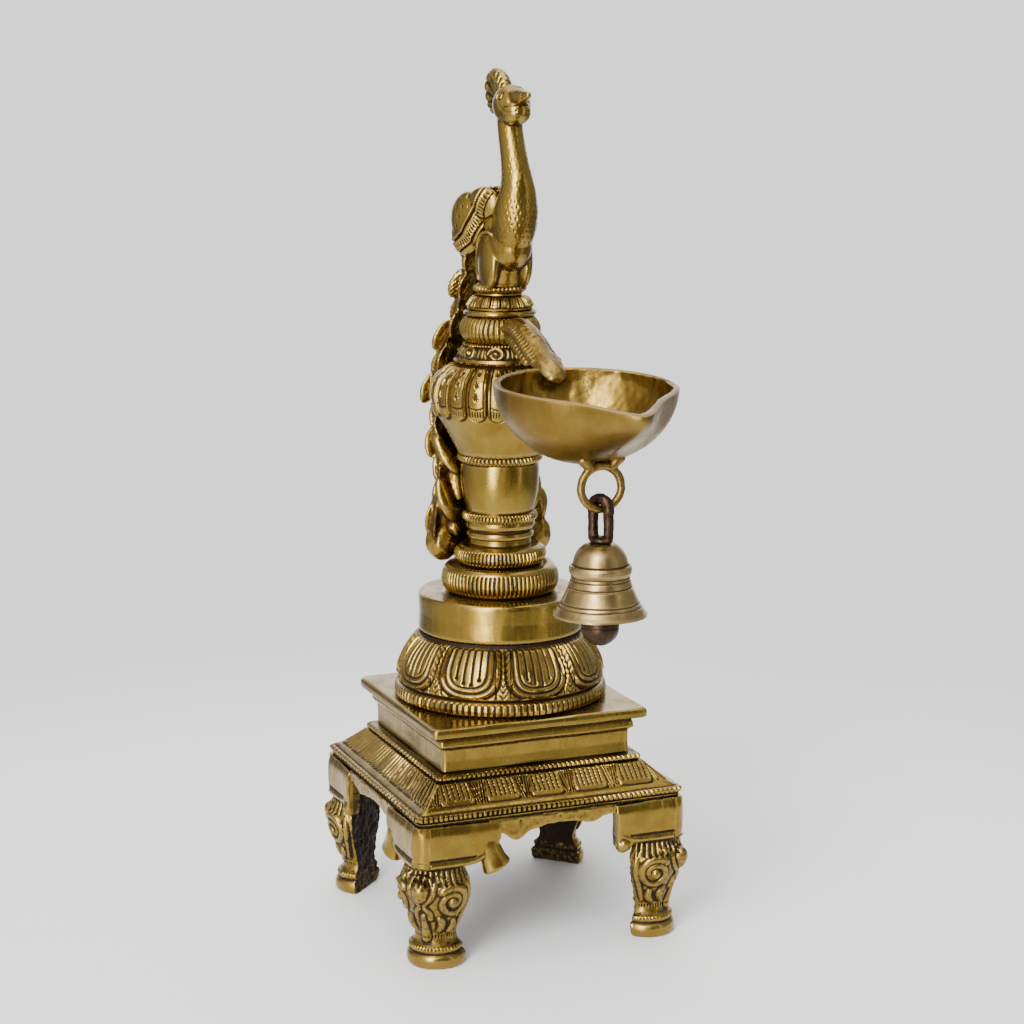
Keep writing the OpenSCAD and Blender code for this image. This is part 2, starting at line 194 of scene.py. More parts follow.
def mark_hollows(mesh, reach, dirt_and_shade=None):
    """Stores how far each point lies below its surroundings, in millimetres, and its extra darkening, which
    is partly dirt and partly painted shade.
    """
    p, edges = points_of(mesh), edges_of(mesh)
    edge = np.median(np.linalg.norm(p[edges[:, 0]] - p[edges[:, 1]], axis=1))
    passes = int(np.clip(2 * (reach / edge) ** 2, 4, 60))
    depth = np.einsum("ij,ij->i", relax(p, edges, passes) - p, normals_of(mesh))
    mesh.attributes.new("hollow", "FLOAT", "POINT").data.foreach_set("value", depth.astype(np.float32))
    # Extra darkening per point: seam dirt and stains, plus painted shade on hidden, inward and downward
    # faces.
    extra = np.zeros(len(p)) if dirt_and_shade is None else dirt_and_shade(p, normals_of(mesh))
    mesh.attributes.new("dirt_and_shade", "FLOAT", "POINT").data.foreach_set("value", extra.astype(np.float32))


def add_piece(name, mesh, finish, node, body="root", reach=0.9, dirt_and_shade=None):
    """Puts a mesh in the scene as a finished piece that stands for a CAD node."""
    sharp_edge = math.radians(38)
    mark_hollows(mesh, reach, dirt_and_shade)
    mesh.polygons.foreach_set("use_smooth", np.ones(len(mesh.polygons), bool))
    mesh.set_sharp_from_angle(angle=sharp_edge)
    piece = bpy.data.objects.new(name, mesh)
    bpy.context.scene.collection.objects.link(piece)
    mesh.materials.append(finish)
    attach(piece, body)
    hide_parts(node)


def fused(name, parts, voxel, soften=1):
    """One closed skin round several overlapping closed shapes, as if cast together.

    voxel is the size of its facets in millimetres, and soften the number of smoothing passes."""
    verts, faces, start = [], [], 0
    for part_verts, part_faces in parts:
        verts.append(np.asarray(part_verts, float))
        faces += [[int(v) + start for v in f] for f in part_faces]
        start += len(part_verts)
    mesh = build_mesh(name + "_rough", np.concatenate(verts), faces)
    thing = bpy.data.objects.new(name + "_rough", mesh)
    bpy.context.scene.collection.objects.link(thing)
    remesh = thing.modifiers.new("skin", "REMESH")
    remesh.mode = "VOXEL"
    remesh.voxel_size = voxel * MM
    graph = bpy.context.evaluated_depsgraph_get()
    result = bpy.data.meshes.new_from_object(thing.evaluated_get(graph))
    bpy.data.objects.remove(thing)
    bpy.data.meshes.remove(mesh)
    solid = bmesh.new()
    solid.from_mesh(result)
    bmesh.ops.delete(solid, geom=[v for v in solid.verts if not v.link_faces], context="VERTS")
    solid.to_mesh(result)
    solid.free()
    move_points(result, relax(points_of(result), edges_of(result), soften))
    result.name = name
    return result


def push(mesh, amount):
    """Moves each point along its normal by amount(points, normals), in millimetres."""
    p, n = points_of(mesh), normals_of(mesh)
    move_points(mesh, p + n * np.asarray(amount(p, n))[:, None])


# ------------------------------------------------------------------ closed shapes, as (points, faces)

def ball(centre, radii, turn=None, rows=20, cols=28):
    """A squashed ball, turned by a 3x3 matrix."""
    a = np.linspace(0, math.pi, rows + 1)[1:-1, None]
    b = np.linspace(0, TAU, cols, endpoint=False)[None, :]
    grid = np.stack([np.sin(a) * np.cos(b), np.sin(a) * np.sin(b), np.cos(a) + 0 * b], axis=-1)
    grid = grid.reshape(-1, 3)
    p = np.concatenate([grid, [[0, 0, 1], [0, 0, -1]]]) * np.asarray(radii, float)
    if turn is not None:
        p = p @ np.asarray(turn).T
    faces = [list(q[::-1]) for q in sheet_quads(rows - 1, cols, wrap_cols=True)]
    top, low, last = len(grid), len(grid) + 1, (rows - 2) * cols
    for j in range(cols):
        k = (j + 1) % cols
        faces += [[top, j, k], [low, last + k, last + j]]
    return p + np.asarray(centre, float), faces


def tube(path, widths, heights, sides=20, up=(0, 0, 1)):
    """A rounded bar along a path. widths and heights are half sizes at each point of the path."""
    path = np.asarray(path, float)
    along = np.gradient(path, axis=0)
    along /= np.linalg.norm(along, axis=1)[:, None]
    side = np.cross(along, np.asarray(up, float))
    side /= np.linalg.norm(side, axis=1)[:, None]
    high = np.cross(side, along)
    a = np.linspace(0, TAU, sides, endpoint=False)
    rings = (
        path[:, None, :]
        + (np.cos(a) * widths[:, None])[..., None] * side[:, None, :]
        + (np.sin(a) * heights[:, None])[..., None] * high[:, None, :]
    )
    verts = np.concatenate([rings.reshape(-1, 3), [path[0], path[-1]]])
    rows = len(path)
    faces = [list(q[::-1]) for q in sheet_quads(rows, sides, wrap_cols=True)]
    first, last = rows * sides, rows * sides + 1
    for j in range(sides):
        k = (j + 1) % sides
        faces += [[first, j, k], [last, (rows - 1) * sides + k, (rows - 1) * sides + j]]
    return verts, faces


def rounded(path, width, height=None, step=0.7, sides=20, up=(0, 0, 1), dome=(1.0, 1.0)):
    """A tube along a smooth path. width and height are half sizes per control point, and dome
    says how long each end's rounding is, as a share of the tube's radius there."""
    path = np.asarray(path, float)
    height = width if height is None else height
    data = np.column_stack([path, width, height])
    data = curved(data, step)
    s = np.concatenate([[0], np.cumsum(np.linalg.norm(np.diff(data[:, :3], axis=0), axis=1))])
    ends = []
    for reach, at, share in ((s, 0, dome[0]), (s[-1] - s, -1, dome[1])):
        r = min(data[at, 3], data[at, 4]) * share + 1e-6
        ends.append(np.sqrt(np.clip(1 - (1 - np.clip(reach / r, 0.03, 1)) ** 2, 0, 1)) if share else 1.0)
    taper = ends[0] * ends[1]
    return tube(data[:, :3], data[:, 3] * taper, data[:, 4] * taper, sides, up)


def loop_tube(path, radius, sides=16):
    """A ring of wire along a closed path."""
    along = np.roll(path, -1, axis=0) - np.roll(path, 1, axis=0)
    along /= np.linalg.norm(along, axis=1)[:, None]
    flat = path - path.mean(axis=0)
    axis = np.linalg.svd(flat)[2][2]
    side = np.cross(along, axis)
    side /= np.linalg.norm(side, axis=1)[:, None]
    high = np.cross(side, along)
    a = np.linspace(0, TAU, sides, endpoint=False)
    rings = path[:, None, :] + radius * (np.cos(a)[None, :, None] * side[:, None, :]
                                         + np.sin(a)[None, :, None] * high[:, None, :])
    faces = [list(q[::-1]) for q in sheet_quads(len(path), sides, wrap_rows=True, wrap_cols=True)]
    return rings.reshape(-1, 3), faces


def ring_stack(rings):
    """A closed shape through rings of points, with a flat end at each side."""
    rows, cols = len(rings), len(rings[0])
    faces = [list(q) for q in sheet_quads(rows, cols, wrap_cols=True)]
    faces += [list(range(cols))[::-1], [(rows - 1) * cols + j for j in range(cols)]]
    return np.concatenate(rings), faces


def with_poles(grid, rows, cols, poles):
    """A closed shape from a grid of rows that close on themselves, with one point at each end."""
    faces = [list(q) for q in sheet_quads(rows, cols, wrap_cols=True)]
    first, last, base = rows * cols, rows * cols + 1, (rows - 1) * cols
    for j in range(cols):
        k = (j + 1) % cols
        faces += [[first, k, j], [last, base + j, base + k]]
    return np.concatenate([grid, poles]), faces


def slab_shape(outline, low, high, place):
    """A flat plate: outline points (x, y), from low to high, put in place by a function of (x, y, z)."""
    outline = np.asarray(outline, float)
    n = len(outline)
    layers = [place(outline[:, 0], outline[:, 1], np.full(n, float(z))) for z in (low, high)]
    faces = [[j, (j + 1) % n, n + (j + 1) % n, n + j] for j in range(n)]
    faces += [list(range(n))[::-1], list(range(n, 2 * n))]
    return np.concatenate(layers), faces


# ------------------------------------------------------------------ turned and square courses

def profile_normals(profile):
    """The outward direction at each point of a section that is drawn upward."""
    t = np.gradient(profile, axis=0)
    t /= np.linalg.norm(t, axis=1)[:, None] + 1e-9
    return np.column_stack([t[:, 1], -t[:, 0]])


def turned(profile, around, relief=None, bore=BORE, wobble=0.1, seed=1):
    """Points and quads of a turned ring. relief(angle, z, r) is how far the surface stands out."""
    lump_size = 14
    profile = np.asarray(profile, float)
    out = profile_normals(profile)
    angle = np.linspace(0, TAU, around, endpoint=False)[None, :]
    r, z = profile[:, :1], profile[:, 1:]
    rise = np.zeros((len(profile), around))
    if relief is not None:
        rise = rise + relief(angle, z, r)
    where = np.stack([r * np.cos(angle), r * np.sin(angle), z + 0 * angle], axis=-1)
    rise = rise + wobble * noise(where / lump_size, seed)
    rr = r + rise * out[:, :1]
    zz = z + rise * out[:, 1:]
    low, high = zz[0].mean(), zz[-1].mean()
    hole = np.full((1, around), bore)
    rr = np.concatenate([hole, rr, hole])
    zz = np.concatenate([np.full((1, around), low), zz, np.full((1, around), high)])
    grid = np.stack([rr * np.cos(angle), rr * np.sin(angle), zz], axis=-1)
    rows = grid.shape[0]
    return grid.reshape(-1, 3), sheet_quads(rows, around, wrap_rows=True, wrap_cols=True)


def square(profile, per_side, relief, wobble):
    """Points and quads of a square course. profile is its whole closed section as [half width, height].

    relief(x, side, z, half) is how far each side stands out; the sides are numbered from the front."""
    lump_size, squareness, seed = 16, 46, 2
    profile = np.asarray(profile, float)
    out = profile_normals(profile)
    u = np.linspace(-1, 1, per_side, endpoint=False)
    soften = (np.abs(u) ** squareness + 1) ** (-1 / squareness)
    edge = smooth(0.0, 0.03, 1 - np.abs(u))[None, :]
    h, z = profile[:, :1], profile[:, 1:]
    grids = []
    for side in range(4):
        turn = side * math.pi / 2
        spin = np.array([[math.cos(turn), -math.sin(turn), 0], [math.sin(turn), math.cos(turn), 0],
                         [0, 0, 1]])
        where = np.stack(np.broadcast_arrays(u * h, -h + 0 * u, z + 0 * u), axis=-1)
        rise = wobble * noise((where @ spin.T) / lump_size, seed)
        if relief is not None:
            rise = rise + relief(u * h, side, z, h) * edge
        half = (h + rise * out[:, :1]) * soften
        grids.append(np.stack([u * half, -half, z + rise * out[:, 1:]], axis=-1) @ spin.T)
    grid = np.concatenate(grids, axis=1)
    rows, cols = grid.shape[:2]
    return grid.reshape(-1, 3), sheet_quads(rows, cols, wrap_rows=True, wrap_cols=True)


# ------------------------------------------------------------------ finishes

class Finish:
    """Small helper that wires one procedural material."""

    def __init__(self, name, slot):
        self.material = bpy.data.materials.new(name)
        self.material.use_nodes = True
        self.material["slot"] = slot
        self.tree = self.material.node_tree
        self.tree.nodes.clear()
        self.place = self.tree.nodes.new("ShaderNodeTexCoord").outputs["Object"]

    def link(self, a, b):
        self.tree.links.new(a, b)

    def noise(self, size_mm, detail=4.0, roughness=0.55, stretch=(1, 1, 1)):
        mapping = self.tree.nodes.new("ShaderNodeMapping")
        mapping.inputs["Scale"].default_value = stretch
        self.link(self.place, mapping.inputs["Vector"])
        node = self.tree.nodes.new("ShaderNodeTexNoise")
        node.inputs["Scale"].default_value = 1000 / size_mm
        node.inputs["Detail"].default_value = detail
        node.inputs["Roughness"].default_value = roughness
        self.link(mapping.outputs["Vector"], node.inputs["Vector"])
        return node.outputs["Fac"]

    def speckle(self, size_mm, low, high):
        node = self.tree.nodes.new("ShaderNodeTexVoronoi")
        node.inputs["Scale"].default_value = 1000 / size_mm
        self.link(self.place, node.inputs["Vector"])
        return self.spread(node.outputs["Distance"], low, high, 1, 0)

    def stored(self, name):
        node = self.tree.nodes.new("ShaderNodeAttribute")
        node.attribute_name = name
        return node.outputs["Fac"]

    def spread(self, value, low, high, to_low=0.0, to_high=1.0):
        node = self.tree.nodes.new("ShaderNodeMapRange")
        node.clamp = True
        node.interpolation_type = "SMOOTHSTEP"
        self.link(value, node.inputs["Value"])
        for key, number in (("From Min", low), ("From Max", high), ("To Min", to_low), ("To Max", to_high)):
            node.inputs[key].default_value = number
        return node.outputs["Result"]

    def math(self, operation, a, b=0.0, clamp=False):
        node = self.tree.nodes.new("ShaderNodeMath")
        node.operation = operation
        node.use_clamp = clamp
        for socket, value in zip(node.inputs, (a, b)):
            if isinstance(value, (int, float)):
                socket.default_value = value
            else:
                self.link(value, socket)
        return node.outputs[0]

    def blend(self, factor, a, b):
        node = self.tree.nodes.new("ShaderNodeMix")
        node.data_type = "RGBA"
        self.link(factor, node.inputs[0])
        for socket, value in ((node.inputs[6], a), (node.inputs[7], b)):
            if isinstance(value, tuple):
                socket.default_value = (*value, 1)
            else:
                self.link(value, socket)
        return node.outputs[2]

    def finish(self, colour, metallic, roughness, height, bump_mm):
        bump_node = self.tree.nodes.new("ShaderNodeBump")
        bump_node.inputs["Strength"].default_value = 1.0
        bump_node.inputs["Distance"].default_value = bump_mm * MM
        self.link(height, bump_node.inputs["Height"])
        surface = self.tree.nodes.new("ShaderNodeBsdfPrincipled")
        self.link(colour, surface.inputs["Base Color"])
        if isinstance(metallic, (int, float)):
            surface.inputs["Metallic"].default_value = metallic
        else:
            self.link(metallic, surface.inputs["Metallic"])
        self.link(roughness, surface.inputs["Roughness"])
        self.link(bump_node.outputs["Normal"], surface.inputs["Normal"])
        output = self.tree.nodes.new("ShaderNodeOutputMaterial")
        self.link(surface.outputs[0], output.inputs[0])
        return self.material


def brass(name, slot, bright, warm, dark, gloss, dirt, pits=0.5, bump_mm=0.05):
    """Cast brass: bright buffed metal, warmer patches, dark residue in hollows, fine pits and scratches,
    and, in the same dark colour, each piece's stored dirt and painted shade.

    gloss is the roughness of the clean metal; a higher dirt fills shallower hollows with residue."""
    f = Finish(name, slot)
    hollow = f.stored("hollow")
    patches = f.noise(9, 5)
    fine = f.noise(1.1, 6, 0.6)
    scratches = f.noise(1.6, 3, 0.5, (1, 1, 0.12))
    # Dark mix: residue in hollows, plus each piece's stored dirt and painted shade, plus fine noise.
    patina_and_shade = f.math("ADD", f.spread(hollow, 0.0, 0.14 / dirt), f.stored("dirt_and_shade"))
    patina_and_shade = f.math("ADD", patina_and_shade, f.spread(fine, 0.42, 0.75, -0.25, 0.25), True)
    patina_and_shade = f.spread(patina_and_shade, 0.12, 0.85)
    worn = f.spread(hollow, -0.02, -0.09)
    pit = f.math("MULTIPLY", f.speckle(1.7, 0.04, 0.16), f.spread(f.noise(14, 2), 0.5, 0.66))
    pit = f.math("MULTIPLY", pit, pits)
    colour = f.blend(f.spread(patches, 0.35, 0.68), bright, warm)
    colour = f.blend(f.math("MULTIPLY", worn, 0.55), colour, tuple(min(1, 1.12 * c + 0.02) for c in bright))
    colour = f.blend(f.math("MAXIMUM", patina_and_shade, f.math("MULTIPLY", pit, 0.8)), colour, dark)
    rough_base = f.math("ADD", f.spread(patches, 0.3, 0.7, gloss - 0.05, gloss + 0.08),
                        f.spread(scratches, 0.45, 0.7, 0, 0.1))
    roughness = f.math("ADD", rough_base, f.math("MULTIPLY", patina_and_shade, 0.34), True)
    height = f.math("ADD", f.math("MULTIPLY", fine, 0.5), f.math("MULTIPLY", scratches, 0.35))
    height = f.math("SUBTRACT", height, f.math("MULTIPLY", pit, 1.4))
    metallic = f.spread(patina_and_shade, 0.2, 1.0, 1.0, 0.72)
    return f.finish(colour, metallic, roughness, height, bump_mm)


GOLD = (0.245, 0.162, 0.032)
POLISHED = brass("polished_brass", "polished_brass",
                 GOLD, (0.205, 0.128, 0.022), (0.042, 0.018, 0.0055), 0.22, 0.8)
RELIEF = brass("relief_brass", "antique_brass",
               GOLD, (0.20, 0.125, 0.022), (0.018, 0.008, 0.003), 0.24, 1.5, 0.7)
BOWL_METAL = brass("bowl_brass", "polished_brass",
                   (0.205, 0.130, 0.028), (0.165, 0.098, 0.017), (0.05, 0.022, 0.006), 0.32, 0.6, 1.0)
BELL_METAL = brass("bell_bronze", "bell_bronze",
                   (0.31, 0.218, 0.088), (0.26, 0.178, 0.066), (0.05, 0.025, 0.010), 0.28, 0.8, 0.15)
DARK_METAL = brass("dark_metal", "dark_metal",
                   (0.046, 0.024, 0.013), (0.028, 0.014, 0.008), (0.008, 0.004, 0.003), 0.40, 0.9, 0.3, 0.12)
STEEL = brass("rod_steel", "steel",
              (0.42, 0.41, 0.38), (0.33, 0.30, 0.27), (0.07, 0.05, 0.035), 0.34, 0.9, 0.3)


# ------------------------------------------------------------------ reliefs cut into turned rings

def ring_place(angle, z, r):
    return np.stack([r * np.cos(angle), r * np.sin(angle), z + 0 * angle], axis=-1)


def milled(count, depth, low, high, width=0.3, seed=5, swell=0.0):
    """Upright notches round a ring between two heights, a little uneven as a hand-cut wheel leaves them."""
    def relief(angle, z, r):
        at = ring_place(angle, z, r)
        band = smooth(low, low + 0.5, z) * (1 - smooth(high - 0.5, high, z))
        turn = angle * count / TAU + 0.16 * noise(at / 5, seed)
        cut = groove(turn, width) * (0.8 + 0.45 * noise(at / 6, seed + 1))
        crown = swell * np.abs(np.cos(math.pi * turn)) ** 0.7
        return (crown - depth * cut) * band
    return relief


def milled_ring(count, depth, low, high, width, seed, swell=0.0):
    """The same notches, between two heights above a foot that is given later."""
    return lambda foot: milled(count, depth, foot + low, foot + high, width, seed, swell)


def petal_cell(angle, count, first, r):
    """Distance in millimetres from the middle of the nearest petal, and half of the petals' spacing."""
    turn = (angle - first) * count / TAU
    return (turn - np.round(turn)) * TAU / count * r, math.pi / count * r


def lotus_relief(low):
    """Milled foot ring, then nine hanging petals of nested ridges with strokes that end in dots."""
    foot = milled(104, 0.75, low + 0.6, low + 5.0, 0.34, 11, 0.15)
    petal_low, petal_top = low + 7.0, low + 24.2

    def relief(angle, z, r):
        x, half = petal_cell(angle, 9, FRONT, r)
        v = z - petal_low
        middle = 9.5
        span = 0.86 * half
        below = np.maximum(middle - v, 0) / middle
        d = ((np.abs(x) / span) ** 2.6 + below ** 2.6) ** (1 / 2.6)
        on = smooth(-0.6, 0.2, v) * (1 - smooth(petal_top - petal_low - 2.4, petal_top - petal_low - 1.2,
                                                v))
        rise = 0.55 * (1 - smooth(0.9, 1.04, d)) + 0.42 * bump(d - 0.96, 0.07)
        rise -= 0.75 * bump(d - 1.09, 0.07) + 0.55 * bump(d - 0.84, 0.06)
        rise += 0.3 * bump(d - 0.74, 0.06) - 0.5 * bump(d - 0.63, 0.05)
        for place, foot_v in ((-0.33, 6.4), (-0.11, 4.9), (0.11, 4.5), (0.33, 6.2)):
            line = np.abs(x - place * half)
            rise -= 0.6 * bump(line, 0.55) * smooth(foot_v, foot_v + 0.5, v)
            rise -= 0.75 * bump(np.hypot(x - place * half, v - foot_v), 0.95)
        beyond = half - np.abs(x)
        chevron = groove((v - 1.1 * beyond) / 2.1, 0.3) * bump(beyond, 2.7)
        rise += 0.35 * bump(beyond, 2.6) - 0.5 * chevron - 0.55 * bump(beyond - 2.7, 0.5)
        return foot(angle, z, r) + rise * on
    return relief


def pot_relief(low):
    """Twenty hanging petals on the pot's shoulder, each with three drops, an arc and short ticks."""
    tip_z, arc_z = low + 14.2, low + 19.8

    def relief(angle, z, r):
        x, half = petal_cell(angle, 20, math.radians(-113.4), r)
        across = np.clip(np.abs(x) / half, 0, 1)
        edge = tip_z + 4.2 * (1 - np.sqrt(1 - 0.97 * across ** 2))
        proud = smooth(-0.25, 0.25, z - edge) * (1 - smooth(low + 30.5, low + 32.2, z))
        rise = (0.75 + 0.5 * (1 - across ** 2)) * proud - 0.3 * bump(z - edge + 0.5, 0.5)
        seam = half - np.abs(x)
        rise -= 0.75 * bump(seam, 0.42) * proud
        rise += 0.25 * bump(seam - 0.75, 0.4) * proud - 0.45 * bump(seam - 1.2, 0.32) * proud
        for drop_z, tall in ((low + 29.3, 0.85), (low + 26.3, 1.15), (low + 22.6, 1.5)):
            u = (z - drop_z) / tall
            drop = np.hypot(x / (0.62 * (1 - 0.35 * np.clip(u, -1, 1))), u)
            rise -= 0.6 * (1 - smooth(0.45, 1.0, drop)) - 0.12 * bump(drop - 1.25, 0.3)
        rise -= 0.55 * bump(z - (arc_z - 1.3 * (1 - across ** 2)), 0.4) * (across < 0.75)
        ticks = groove(x / 0.95 + 0.5, 0.3) * smooth(tip_z + 1.4, tip_z + 1.8, z)
        rise -= 0.35 * ticks * (1 - smooth(arc_z - 2.2, arc_z - 1.8, z)) * (across < 0.62)
        return rise
    return relief


def scroll_relief(low):
    """Eight swirled bosses between a row of beads and a plain lip."""
    def relief(angle, z, r):
        x = petal_cell(angle, 8, math.radians(-117), r)[0]
        d = np.hypot(x, 1.25 * (z - low - 3.9))
        swirl = np.cos(d * 2.5 - 0.5 * np.arctan2(z - low - 3.9, x))
        on = smooth(low + 1.9, low + 2.3, z) * (1 - smooth(low + 6.0, low + 6.3, z))
        rise = on * (0.34 * swirl * (1 - smooth(3.6, 5.0, d)) + 0.7 * bump(d, 3.6) - 0.4)
        rise -= on * 0.35 * groove(angle * 64 / TAU, 0.3) * smooth(4.2, 5.0, d)
        beads = smooth(low + 5.9, low + 6.2, z) * np.abs(np.cos(angle * 35))
        return rise + 0.3 * beads
    return relief


def capital_relief(low):
    """Twenty overlapping tabs that hang over a plain edge."""
    def relief(angle, z, r):
        x, half = petal_cell(angle, 20, math.radians(-120), r)
        on = smooth(low + 1.0, low + 1.4, z) * (1 - smooth(low + 4.3, low + 4.8, z))
        rise = on * (0.5 - 0.85 * bump(half - np.abs(x), 0.4) - 0.3 * bump(np.abs(x) - 0.45 * half, 0.25))
        return rise + on * 0.2 * bump(z - low - 1.7, 0.5)
    return relief


# ------------------------------------------------------------------ the stack of turned rings

def level(node):
    """Lowest and highest height of a CAD node, in millimetres."""
    low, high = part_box(node)
    return low.z / MM, high.z / MM


def lifted(points, z):
    return [(r, z + h) for r, h in points]


def stack_ring(node, outline, around, step, finish, relief=None, wobble=0.1, dirt_and_shade=None, bore=BORE):
    """One ring of the column. outline holds (radius, height above its foot), around is the number of points
    round it, and step is the spacing of the points up its side. relief(foot) is its relief for a foot at
    that height, and wobble its unevenness in millimetres. grime is a function, or a pair: the seams that
    dirt gathers at, "foot" or "both", and how far it reaches."""
    low, high = level(node)
    profile = straight(lifted(outline, low), step)
    verts, faces = turned(profile, around, relief(low) if relief else None, bore, wobble)
    mesh = build_mesh(node + "_cast", verts, faces)
    if isinstance(dirt_and_shade, tuple):
        seams, reach = dirt_and_shade
        dirt_and_shade = seam_dirt(*((low, high) if seams == "both" else (low,)), reach=reach)
    add_piece(node + "_cast", mesh, finish, node, dirt_and_shade=dirt_and_shade)


def arc(a, b, c, n=10):
    """Points of a quadratic curve from a to c, drawn towards b."""
    t = np.linspace(0, 1, n + 1)[:, None]
    a, b, c = (np.asarray(p, float) for p in (a, b, c))
    return [tuple(p) for p in (1 - t) ** 2 * a + 2 * t * (1 - t) * b + t * t * c]


def seam_dirt(*heights, reach=0.9, amount=0.7):
    """Dark residue near the seams at some heights."""
    def dirt_and_shade(p, n):
        where = sum(bump(p[:, 2] - z, reach) for z in heights)
        return amount * where * (0.7 + 0.5 * rough(p, 6, 40))
    return dirt_and_shade


def build_column():
    lotus_low, lotus_high = level("lotus_seat")
    drum_low = level("drum")[0]
    pot_low, pot_high = level("pot")
    waist = level("waist_collar")
    lotus_dirt = seam_dirt(lotus_low + 5.9, lotus_high - 0.8, reach=1.8)

    def drum_dirt(p, n):
        return 0.5 * bump(p[:, 2] - drum_low, 0.8) + 0.5 * bump(np.hypot(p[:, 0], p[:, 1]) - 22, 3.5)

    def pot_dirt(p, n):
        return 0.55 * bump(p[:, 2] - pot_low, 1.2) + 0.8 * bump(p[:, 2] - pot_high, 1.6)

    stack_ring(
        "lotus_seat",
        [(36.4, 0), (37.2, 0.2), (38.3, 1.1), (38.5, 2.6), (38.2, 4.3), (37.2, 5.2), (36.4, 5.7)]
        + arc((37.4, 6.7), (37.0, 16.8), (28.1, 24.2), 20),
        832, 0.36, RELIEF, lotus_relief, 0.12, lotus_dirt, bore=29.4)
    stack_ring(
        "drum",
        [(28.2, 0), (29.1, 0.15), (29.6, 0.7), (29.75, 1.6), (29.55, 7), (29.7, 12.6), (29.5, 13.5),
         (28.9, 14.0), (26, 14.15), (20, 14.1), (12, 14.1)],
        360, 0.55, POLISHED, None, 0.16, drum_dirt)
    stack_ring(
        "stem_foot_ring",
        [(18.6, 0)] + arc((19.9, 0.6), (22.6, 4.6), (20, 9.1), 14) + [(19, 9.9), (17, 10.2), (13, 10.2)],
        80 * 8, 0.34, RELIEF, milled_ring(80, 0.6, 1.2, 8.7, 0.33, 21), 0.2, ("foot", 0.9))
    stack_ring(
        "stem_second_ring",
        [(14.6, 0)] + arc((15.2, 0.4), (18.1, 3.3), (15.4, 6.1), 12) + [(14, 6.9), (11, 7)],
        70 * 8, 0.3, RELIEF, milled_ring(70, 0.55, 0.8, 5.9, 0.33, 25), 0.16, ("foot", 0.9))
    stack_ring(
        "waist_collar",
        [(11.0, 0), (11.2, 0.4), (11.1, 2.3), (11.3, 2.6), (11.9, 2.9), (12.1, 3.8), (11.8, 4.7),
         (11.2, 5.0), (11.3, 5.5), (12.1, 6.2), (12.5, 7.4), (12.4, 8.6), (8, 8.6)],
        240, 0.3, POLISHED, None, 0.12, seam_dirt(waist[0], *waist))
    stack_ring(
        "lower_milled_ring",
        [(12.0, 0)] + arc((12.6, 0.1), (14.7, 1.7), (12.6, 3.2), 10) + [(12, 3.4), (8, 3.4)],
        62 * 8, 0.22, RELIEF, milled_ring(62, 0.55, 0.1, 3.3, 0.34, 31), 0.1, ("both", 0.6))
    stack_ring(
        "cup_body",
        arc((11.7, 0), (14.6, 8), (14.05, 17.4), 14) + [(13.6, 17.9), (9, 17.9)],
        240, 0.5, POLISHED, None, 0.13, seam_dirt(*level("cup_body"), reach=1.3, amount=0.55))
    stack_ring(
        "upper_milled_ring",
        [(13.8, 0)] + arc((14.2, 0.1), (16.6, 1.6), (14.3, 3.0), 10) + [(13.8, 3.1), (9, 3.1)],
        60 * 8, 0.22, RELIEF, milled_ring(60, 0.6, 0.1, 3.0, 0.34, 35), 0.12, ("both", 0.6))
    stack_ring(
        "pot",
        arc((15.0, 0), (17.9, 6.4), (21.5, 12.4), 12) + arc((22.2, 13.6), (25.4, 21.2), (22.9, 26.2), 14)
        + arc((22.3, 27.2), (18.9, 30.3), (14.9, 32.6), 10) + [(10, 32.6)],
        760, 0.34, POLISHED, pot_relief, 0.12, pot_dirt)
    stack_ring(
        "scroll_collar",
        [(15.2, 0), (16.3, 0.1), (16.7, 0.9), (16.2, 1.8), (15.4, 2.1)]
        + arc((15.2, 2.4), (14.9, 4.6), (13.2, 6.0), 8) + [(13.1, 6.5), (12.2, 6.9), (8, 6.9)],
        560, 0.22, RELIEF, scroll_relief, 0.1, ("foot", 0.5))
    stack_ring(
        "ribbed_ring",
        [(11.2, 0)] + arc((11.6, 0.1), (17.2, 4.85), (11.6, 9.6), 16) + [(11, 9.7), (8, 9.7)],
        48 * 12, 0.26, RELIEF, milled_ring(48, 0.6, 0.2, 9.5, 0.36, 45, 0.2), 0.16, ("both", 0.9))
    stack_ring(
        "disc_collar",
        [(11.4, 0), (12.5, 0.1), (12.95, 0.7), (12.9, 1.4), (12.3, 2.0), (9, 2.1)],
        220, 0.2, POLISHED, None, 0.25, ("foot", 0.5))
    stack_ring(
        "petal_capital",
        [(10.8, 0), (11.5, 0.1), (11.7, 0.8), (11.3, 1.2)] + arc((11.5, 1.4), (10.9, 3.9), (8, 4.9), 9)
        + [(5, 4.9)],
        480, 0.2, RELIEF, capital_relief, 0.12, ("foot", 0.6))
    stack_ring(
        "perch_collar",
        [(7.6, 0), (8.1, 0.3), (7.9, 0.9)] + arc((8.3, 1.1), (10.8, 2.6), (8.3, 3.9), 9)
        + [(7.9, 4.4), (5, 4.4)],
        36 * 12, 0.2, RELIEF, milled_ring(36, 0.5, 1.2, 4, 0.34, 51), 0.14, ("both", 0.7))


# ------------------------------------------------------------------ the stool's square courses

